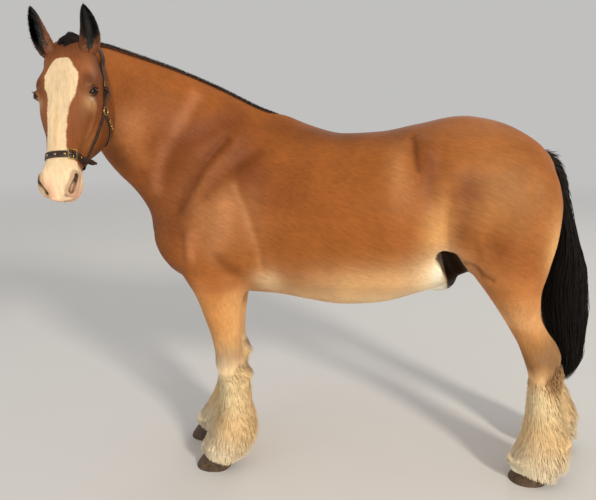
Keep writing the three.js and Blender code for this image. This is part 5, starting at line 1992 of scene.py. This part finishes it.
# Routes on the side of the head, as [down the head, out of the forehead].
HEADPIECE_ROUTE = [(462, -72), (448, -100), (420, -104), (390, -103), (355, -94), (311, -82), (243, -78),
                   (175, -71), (130, -74), (51, -80), (0, -74), (-50, -62)]
HEADPIECE_OVER = (-80, 22)
THROAT_ROUTE = [(243, -78), (258, -120), (274, -165), (290, -205)]
THROAT_UNDER = (10, -125)
RING_PLACE, RING_RADIUS, RING_WIRE = (243, -80), 15, 2.7
CHEEK_BUCKLE = (132, -76)
FAR = 330  # rays start this far out of the head


def cast(tree, origins, ways):
    """How far from origins, in the head's frame, the skin lies along ways."""
    far = []
    for origin, way in zip(origins, ways):
        start = Vector(from_head(origin + way * FAR))
        hit = tree.ray_cast(start, Vector(-way @ HEAD.T))
        far.append(FAR - hit[3] if hit[0] else np.nan)
    far, steps = np.array(far), np.arange(len(far))
    found = ~np.isnan(far)
    return np.interp(steps, steps[found], far[found])


def side_rays(route, over=None, steps=26):
    """Rays out of the head along a route on its left side, then round over the end to the right side."""
    route = np.array(route, float)
    line = Curve(np.insert(route, 1, 0, axis=1)).at(np.linspace(0, 1, 8 * len(route)))
    tangent = unit(np.gradient(line, axis=0))
    origins = [line]
    ways = [np.broadcast_to(SIDEWAYS, line.shape)]
    across = [np.cross(SIDEWAYS, tangent)]
    if over is not None:
        end = unit(np.array([over[0], 0, over[1]], float))
        turn = np.linspace(0, np.pi, steps)[1:-1, None]
        origins += [np.tile(line[-1], (steps - 2, 1)), line[::-1]]
        ways += [np.cos(turn) * SIDEWAYS + np.sin(turn) * end, -ways[0]]
        across += [np.tile(np.cross(SIDEWAYS, end), (steps - 2, 1)), across[0][::-1]]
    return (np.concatenate(part) for part in (origins, ways, across))


def calm(values, passes, closed):
    for _ in range(passes):
        if closed:
            values = (np.roll(values, 1, 1) + 2 * values + np.roll(values, -1, 1)) / 4
        else:
            values[:, 1:-1] = (values[:, :-2] + 2 * values[:, 1:-1] + values[:, 2:]) / 4
    return values


def strap(name, tree, rays, width, closed=False, lift=1.0, material=None, thickness=STRAP_THICKNESS):
    """A band of leather on the skin, with rounded edges; gives back its own surface, for what lies on it."""
    origins, ways, across = rays
    offsets = np.linspace(-0.5, 0.5, 5) * width
    far = np.array([cast(tree, origins + across * o, ways) for o in offsets])
    even = calm(far.copy(), 14, closed)
    far = calm(np.maximum(far, even - 0.5), 3, closed)
    far = calm(np.maximum(far, far.mean(0) - 1.5).T.copy(), 1, False).T
    inner = np.array([origins + across * o + ways * (f + lift)[:, None] for o, f in zip(offsets, far)])
    along = np.roll(inner, -1, 1) - np.roll(inner, 1, 1) if closed else np.gradient(inner, axis=1)
    side = np.gradient(inner, axis=0)
    out = unit(np.cross(along, side))
    flip = np.sign((out * ways[None]).sum(-1, keepdims=True))
    out = out * flip
    slab(name, inner, out, closed, thickness, material)
    return {"middle": inner[2] + out[2] * thickness, "out": out[2], "across": unit(side[2]),
            "along": unit(along[2]), "width": width}


def slab(name, inner, out, closed, thickness, material):
    """Leather with rounded edges over five lines that lie side by side."""
    rim = np.array([0.72, 1, 1, 1, 0.72])[:, None, None] * thickness
    low = np.array([0.28, 0, 0, 0, 0.28])[:, None, None] * thickness
    ring = np.concatenate([inner + out * rim, (inner + out * low)[::-1]], axis=0)
    rings = np.moveaxis(ring, 0, 1)
    faces = shell_faces(*rings.shape[:2], closed)
    piece = mesh_object(name, place(from_head(rings.reshape(-1, 3))), faces, material)
    tidy_normals(piece)
    bevel = piece.modifiers.new("round", "BEVEL")
    bevel.width, bevel.segments, bevel.limit_method, bevel.angle_limit = 0.0006, 2, "ANGLE", 0.6
    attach(piece, "root")
    return piece


def loose_end(name, path, out, width, material, nodes=()):
    """The free end of a strap, along a path, with a blunt point."""
    t = np.linspace(0, 1, 28)
    line = Curve(path).at(t)
    along = unit(np.gradient(line, axis=0))
    across = unit(np.cross(along, out))
    away = np.cross(across, along)
    away *= np.sign((away * out).sum(1, keepdims=True))
    size = width * (1 - 0.62 * smooth(t, 0.8, 1.0)**2)
    inner = np.array([line + across * (o * size)[:, None] for o in np.linspace(-0.5, 0.5, 5)])
    piece = slab(name, inner, np.tile(away, (5, 1, 1)), False, 3.4, material)
    if nodes:
        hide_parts(*nodes)


def tidy_normals(piece):
    shape = bmesh.new()
    shape.from_mesh(piece.data)
    bmesh.ops.recalc_face_normals(shape, faces=shape.faces)
    shape.to_mesh(piece.data)
    shape.free()


def tube(line, radius, closed=True, sides=12):
    """A round wire along a line, as points and faces."""
    line = np.asarray(line, float)
    along = unit(np.roll(line, -1, 0) - np.roll(line, 1, 0) if closed else np.gradient(line, axis=0))
    helper = unit(np.cross(along, np.array([0.31, 0.52, 0.79])))
    other = np.cross(along, helper)
    turn = np.arange(sides) / sides * 2 * np.pi
    rings = line[:, None] + radius * (np.cos(turn)[None, :, None] * helper[:, None]
                                      + np.sin(turn)[None, :, None] * other[:, None])
    return rings.reshape(-1, 3), shell_faces(len(rings), sides, closed)


def joined(parts):
    points, faces, base = [], [], 0
    for p, f in parts:
        points.append(p)
        faces += [[base + k for k in face] for face in f]
        base += len(p)
    return np.concatenate(points), faces


def spot_of(band, k):
    return {key: band[key][k] for key in ("middle", "out", "across", "along")}


def at_point(band, wanted):
    """The point of a strap nearest to a point of the head."""
    return spot_of(band, np.argmin(np.linalg.norm(band["middle"] - wanted, axis=1)))


def at_place(band, wanted, side):
    """The point of a strap nearest to [down the head, out of the forehead] on one side of the head."""
    ok = np.flatnonzero(band["middle"][:, 1] * -side > 0)
    away = np.linalg.norm(band["middle"][ok][:, [0, 2]] - wanted, axis=1)
    return spot_of(band, ok[np.argmin(away)])


def lay(spot, shape, lift=0.0, turn=0.0):
    """Drawn points (x across the strap, y along it, z out) laid on a spot."""
    c, s = math.cos(turn), math.sin(turn)
    along, across = spot["along"], spot["across"]
    along, across = c * along + s * across, c * across - s * along
    return (spot["middle"] + spot["out"] * lift + shape[:, 0:1] * across + shape[:, 1:2] * along
            + shape[:, 2:3] * spot["out"])


def metal_piece(name, parts, material, nodes=()):
    points, faces = joined(parts)
    piece = mesh_object(name, place(from_head(points)), faces, material)
    tidy_normals(piece)
    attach(piece, "root")
    if nodes:
        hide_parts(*nodes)


def circle(radius, steps=40, tall=0.0):
    turn = np.arange(steps) / steps * 2 * np.pi
    return np.stack([radius * np.cos(turn), radius * np.sin(turn), tall * np.cos(2 * turn)], -1)


def rounded(width, length, corner=5.0, steps=8):
    """A rectangle with round corners, and its sides bowed over the strap."""
    points = []
    for k, (sx, sy) in enumerate([(1, 1), (-1, 1), (-1, -1), (1, -1)]):
        turn = np.linspace(0, np.pi / 2, steps) + k * np.pi / 2
        points.append(np.stack([sx * (width / 2 - corner) + corner * np.cos(turn),
                                sy * (length / 2 - corner) + corner * np.sin(turn), 0 * turn], -1))
    line = np.concatenate(points)
    line[:, 2] = 1.2 * (1 - (2 * line[:, 1] / length)**2)
    return line


def buckle(band, where, side, width, length, wire):
    spot = at_place(band, where, side)
    frame = tube(lay(spot, rounded(width, length), 1.6), wire / 2)
    bar_line = np.array([[-width / 2, -length * 0.1, 0], [width / 2, -length * 0.1, 0]])
    bar = tube(lay(spot, bar_line, 1.0), wire * 0.42, closed=False)
    tongue_line = np.array([[0, -length * 0.1, 0.6], [0, length * 0.2, 2.4], [0, length * 0.52, 2.2]])
    tongue = tube(lay(spot, tongue_line, 1.2), wire * 0.36, closed=False)
    return [frame, bar, tongue]


def stud(spot, across, radius=3.2):
    ring = np.linspace(0, np.pi / 2, 6)
    rings = []
    for a in ring:
        rings.append(lay(spot, circle(max(radius * math.cos(a), 0.05), 16)
                         + np.array([across, 0, radius * 0.55 * math.sin(a) - 0.4])))
    points, faces = loft(np.array(rings))
    return points, faces.tolist()


def stitches(bands, material):
    """Rows of thread along both edges of each strap."""
    parts = []
    for band in bands:
        middle = band["middle"]
        steps = np.linalg.norm(np.diff(middle, axis=0), axis=1)
        place_along = np.concatenate([[0], np.cumsum(steps)])
        wanted = np.arange(3, place_along[-1] - 3, 5.4)
        at = {key: np.stack([np.interp(wanted, place_along, band[key][:, k]) for k in range(3)], -1)
              for key in ("middle", "out", "across", "along")}
        for way in (-1, 1):
            for k in range(len(wanted)):
                centre = at["middle"][k] + at["across"][k] * way * (band["width"] / 2 - 3.1)
                half = at["along"][k] * 1.75
                dip = at["out"][k]
                line = np.array([centre - half - dip * 0.4, centre - half * 0.5 + dip * 0.25,
                                 centre + half * 0.5 + dip * 0.25, centre + half - dip * 0.4])
                parts.append(tube(line, 0.42, closed=False, sides=5))
    points, faces = joined(parts)
    piece = mesh_object("stitching", place(from_head(points)), faces, material)
    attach(piece, "root")


def leather_material():
    m = Nodes("leather")
    grain = m.add("TexVoronoi", {"feature": "F1"}, Vector=m.add("NewGeometry"), Scale=900.0)
    wear = m.noise(55.0, 4.0)
    tint = m.ramp(wear, (0.32, (24, 16, 12)), (0.72, (58, 38, 27)))
    return m.set(Base_Color=tint, Roughness=m.remap(wear, 0.3, 0.7, 0.34, 0.55), Specular_IOR_Level=0.5,
                 Normal=m.bump(grain, 0.0004, 0.6))


def brass_material():
    m = Nodes("brass")
    wear = m.noise(120.0, 3.0)
    tint = m.ramp(wear, (0.3, (150, 118, 60)), (0.7, (224, 190, 120)))
    return m.set(Base_Color=tint, Metallic=1.0, Roughness=m.remap(wear, 0.3, 0.7, 0.2, 0.38))


def thread_material():
    m = Nodes("thread")
    tint = m.ramp(m.noise(700.0, 2.0), (0, (96, 80, 60)), (1, (158, 138, 108)))
    return m.set(Base_Color=tint, Roughness=0.8)


def headcollar(tree, head_tree):
    leather, brass, thread = leather_material(), brass_material(), thread_material()
    turn = np.linspace(0, 2 * np.pi, 110, endpoint=False)[:, None]
    rise = unit(NOSEBAND_TOP - NOSEBAND_LOW)
    ways = np.cos(turn) * SIDEWAYS + np.sin(turn) * rise
    centre = NOSEBAND_LOW + rise * (180 / rise[2])
    side = np.cross(SIDEWAYS, rise)
    rays = (np.tile(centre, (110, 1)), ways, np.tile(side, (110, 1)))
    noseband = strap("strap_nose", tree, rays, NOSEBAND_WIDTH, True, 0.8, leather)
    headpiece = strap("strap_cheeks", tree, tuple(side_rays(HEADPIECE_ROUTE, HEADPIECE_OVER)), CHEEK_WIDTH,
                      False, 1.4, leather)
    throat = strap("strap_throat", head_tree, tuple(side_rays(THROAT_ROUTE, THROAT_UNDER)), CHEEK_WIDTH,
                   False, 0.6, leather)
    for piece, node in (("strap_nose", "noseband"), ("strap_cheeks", "headpiece"),
                        ("strap_throat", "throat_strap")):
        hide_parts(node)
    for side_of, word in ((LEFT, "left"), (RIGHT, "right")):
        spot = at_place(headpiece, RING_PLACE, side_of)
        metal_piece(f"ring_wire_{word}", [tube(lay(spot, circle(RING_RADIUS, 48), 3.2), RING_WIRE)], brass,
                    [f"ring_{word}"])
    metal_piece("buckle_nose", buckle(noseband, (484, 26), LEFT, 36, 31, 4.4), brass, ["noseband_buckle"])
    metal_piece("buckle_cheek", buckle(headpiece, CHEEK_BUCKLE, LEFT, 31, 26, 4.0), brass, ["cheek_buckle"])
    # The loose ends of the straps, and the keeper that holds one of them down.
    end = np.array([(486, 55, 30), (480, 69, 2), (478, 74, -24), (476, 77, -52), (474, 78, -82)], float)
    first = [at_point(noseband, p) for p in end[:3]]
    end[:3] = [spot["middle"] + spot["out"] * 1.0 for spot in first]
    end[3:] = end[2] + [(-7, 8, -46), (-19, 22, -92)]
    loose_end("strap_nose_end", end, first[2]["out"], 22, leather, ["noseband_end"])
    spot = at_place(headpiece, CHEEK_BUCKLE, LEFT)
    hang = lay(spot, np.array([(0, 8, 1.4), (0, -12, 2.0), (0, -36, 3.4), (-2, -62, 8.0)], float))
    loose_end("strap_cheek_end", hang, spot["out"], 15, leather, ["billet"])
    other = lay(spot, np.array([(-5, -4, 5.5), (-9, -24, 8.0), (-15, -46, 15.0)], float))
    loose_end("strap_cheek_tip", other, spot["out"], 12, leather)
    keeper = lay(spot, np.array([(-10.5, -26, -1.5), (-9, -26, 5.4), (9, -26, 5.4), (10.5, -26, -1.5)]))
    loose_end("strap_keeper", keeper, spot["out"], 8, leather)
    # A brass snap hangs from the near ring, along the throat strap.
    spot = at_place(throat, (276, -128), LEFT)
    loop = rounded(12, 30, 5.8)
    loop[:, 2] += 4.4
    pin = lay(spot, np.array([(0, 13, 4.6), (0, 24, 4.2)], float))
    eye = lay(spot, circle(6.2, 28) * (1, 1, 0) + (0, 29, 4.0))
    metal_piece("snap_hook", [tube(lay(spot, loop), 1.9), tube(pin, 3.4, closed=False), tube(eye, 1.7)],
                brass, ["snap"])
    # Brass studs on the noseband.
    places = [(476, -10, 49), (486, 26, 46), (478, -48, 42), (470, -68, 6), (464, -74, -32), (458, -72, -70)]
    studs = [stud(at_point(noseband, p), 0.0, 4.8) for p in places]
    down = first[2]
    studs.append(stud({**down, "middle": down["middle"] + down["out"] * 4.4}, 0.0, 4.6))
    metal_piece("studs", studs, brass)
    stitches([noseband, headpiece, throat], thread)


coat = coat_material()
skin_piece, skin = make_skin(coat)
flesh = ["head", "neck", "trunk", *(f"{leg.name}_{part}" for leg in LEGS for part in ("upper", "lower"))]
surface = Surface(skin_piece, skin)
tree = BVHTree.FromPolygons(surface.points.tolist(), surface.corners.tolist())

hair = hair_material("short_hair", 0.52, 0.04, 0.3, 0.08)
long_hair = hair_material("long_hair", 0.55, 0.0, 0.12)
skin_parts = [add_lids(tree, coat), *ears(hair, coat)]
hollow_eyes(skin_piece)
join(skin_piece, skin_parts)
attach(skin_piece, "root")
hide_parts(*flesh, "ear_left", "ear_right")

for piece in short_coat(surface, hair):
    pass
for i, leg in enumerate(LEGS):
    feather_core(leg, coat)
    for piece in feather(leg, FEATHER_LOCKS, 60 + i, hair):
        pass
    hoof(leg)
for long_part in (tail, tail_core, dock, mane, forelock):
    for piece in long_part(long_hair):
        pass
for side, word in ((LEFT, "left"), (RIGHT, "right")):
    eyeball(side, word)
for piece in lashes_and_whiskers(tree, long_hair):
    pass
on_head = surface.corners[surface.head > 0.5]
headcollar(tree, BVHTree.FromPolygons(surface.points.tolist(), on_head.tolist()))

stage()
camera()
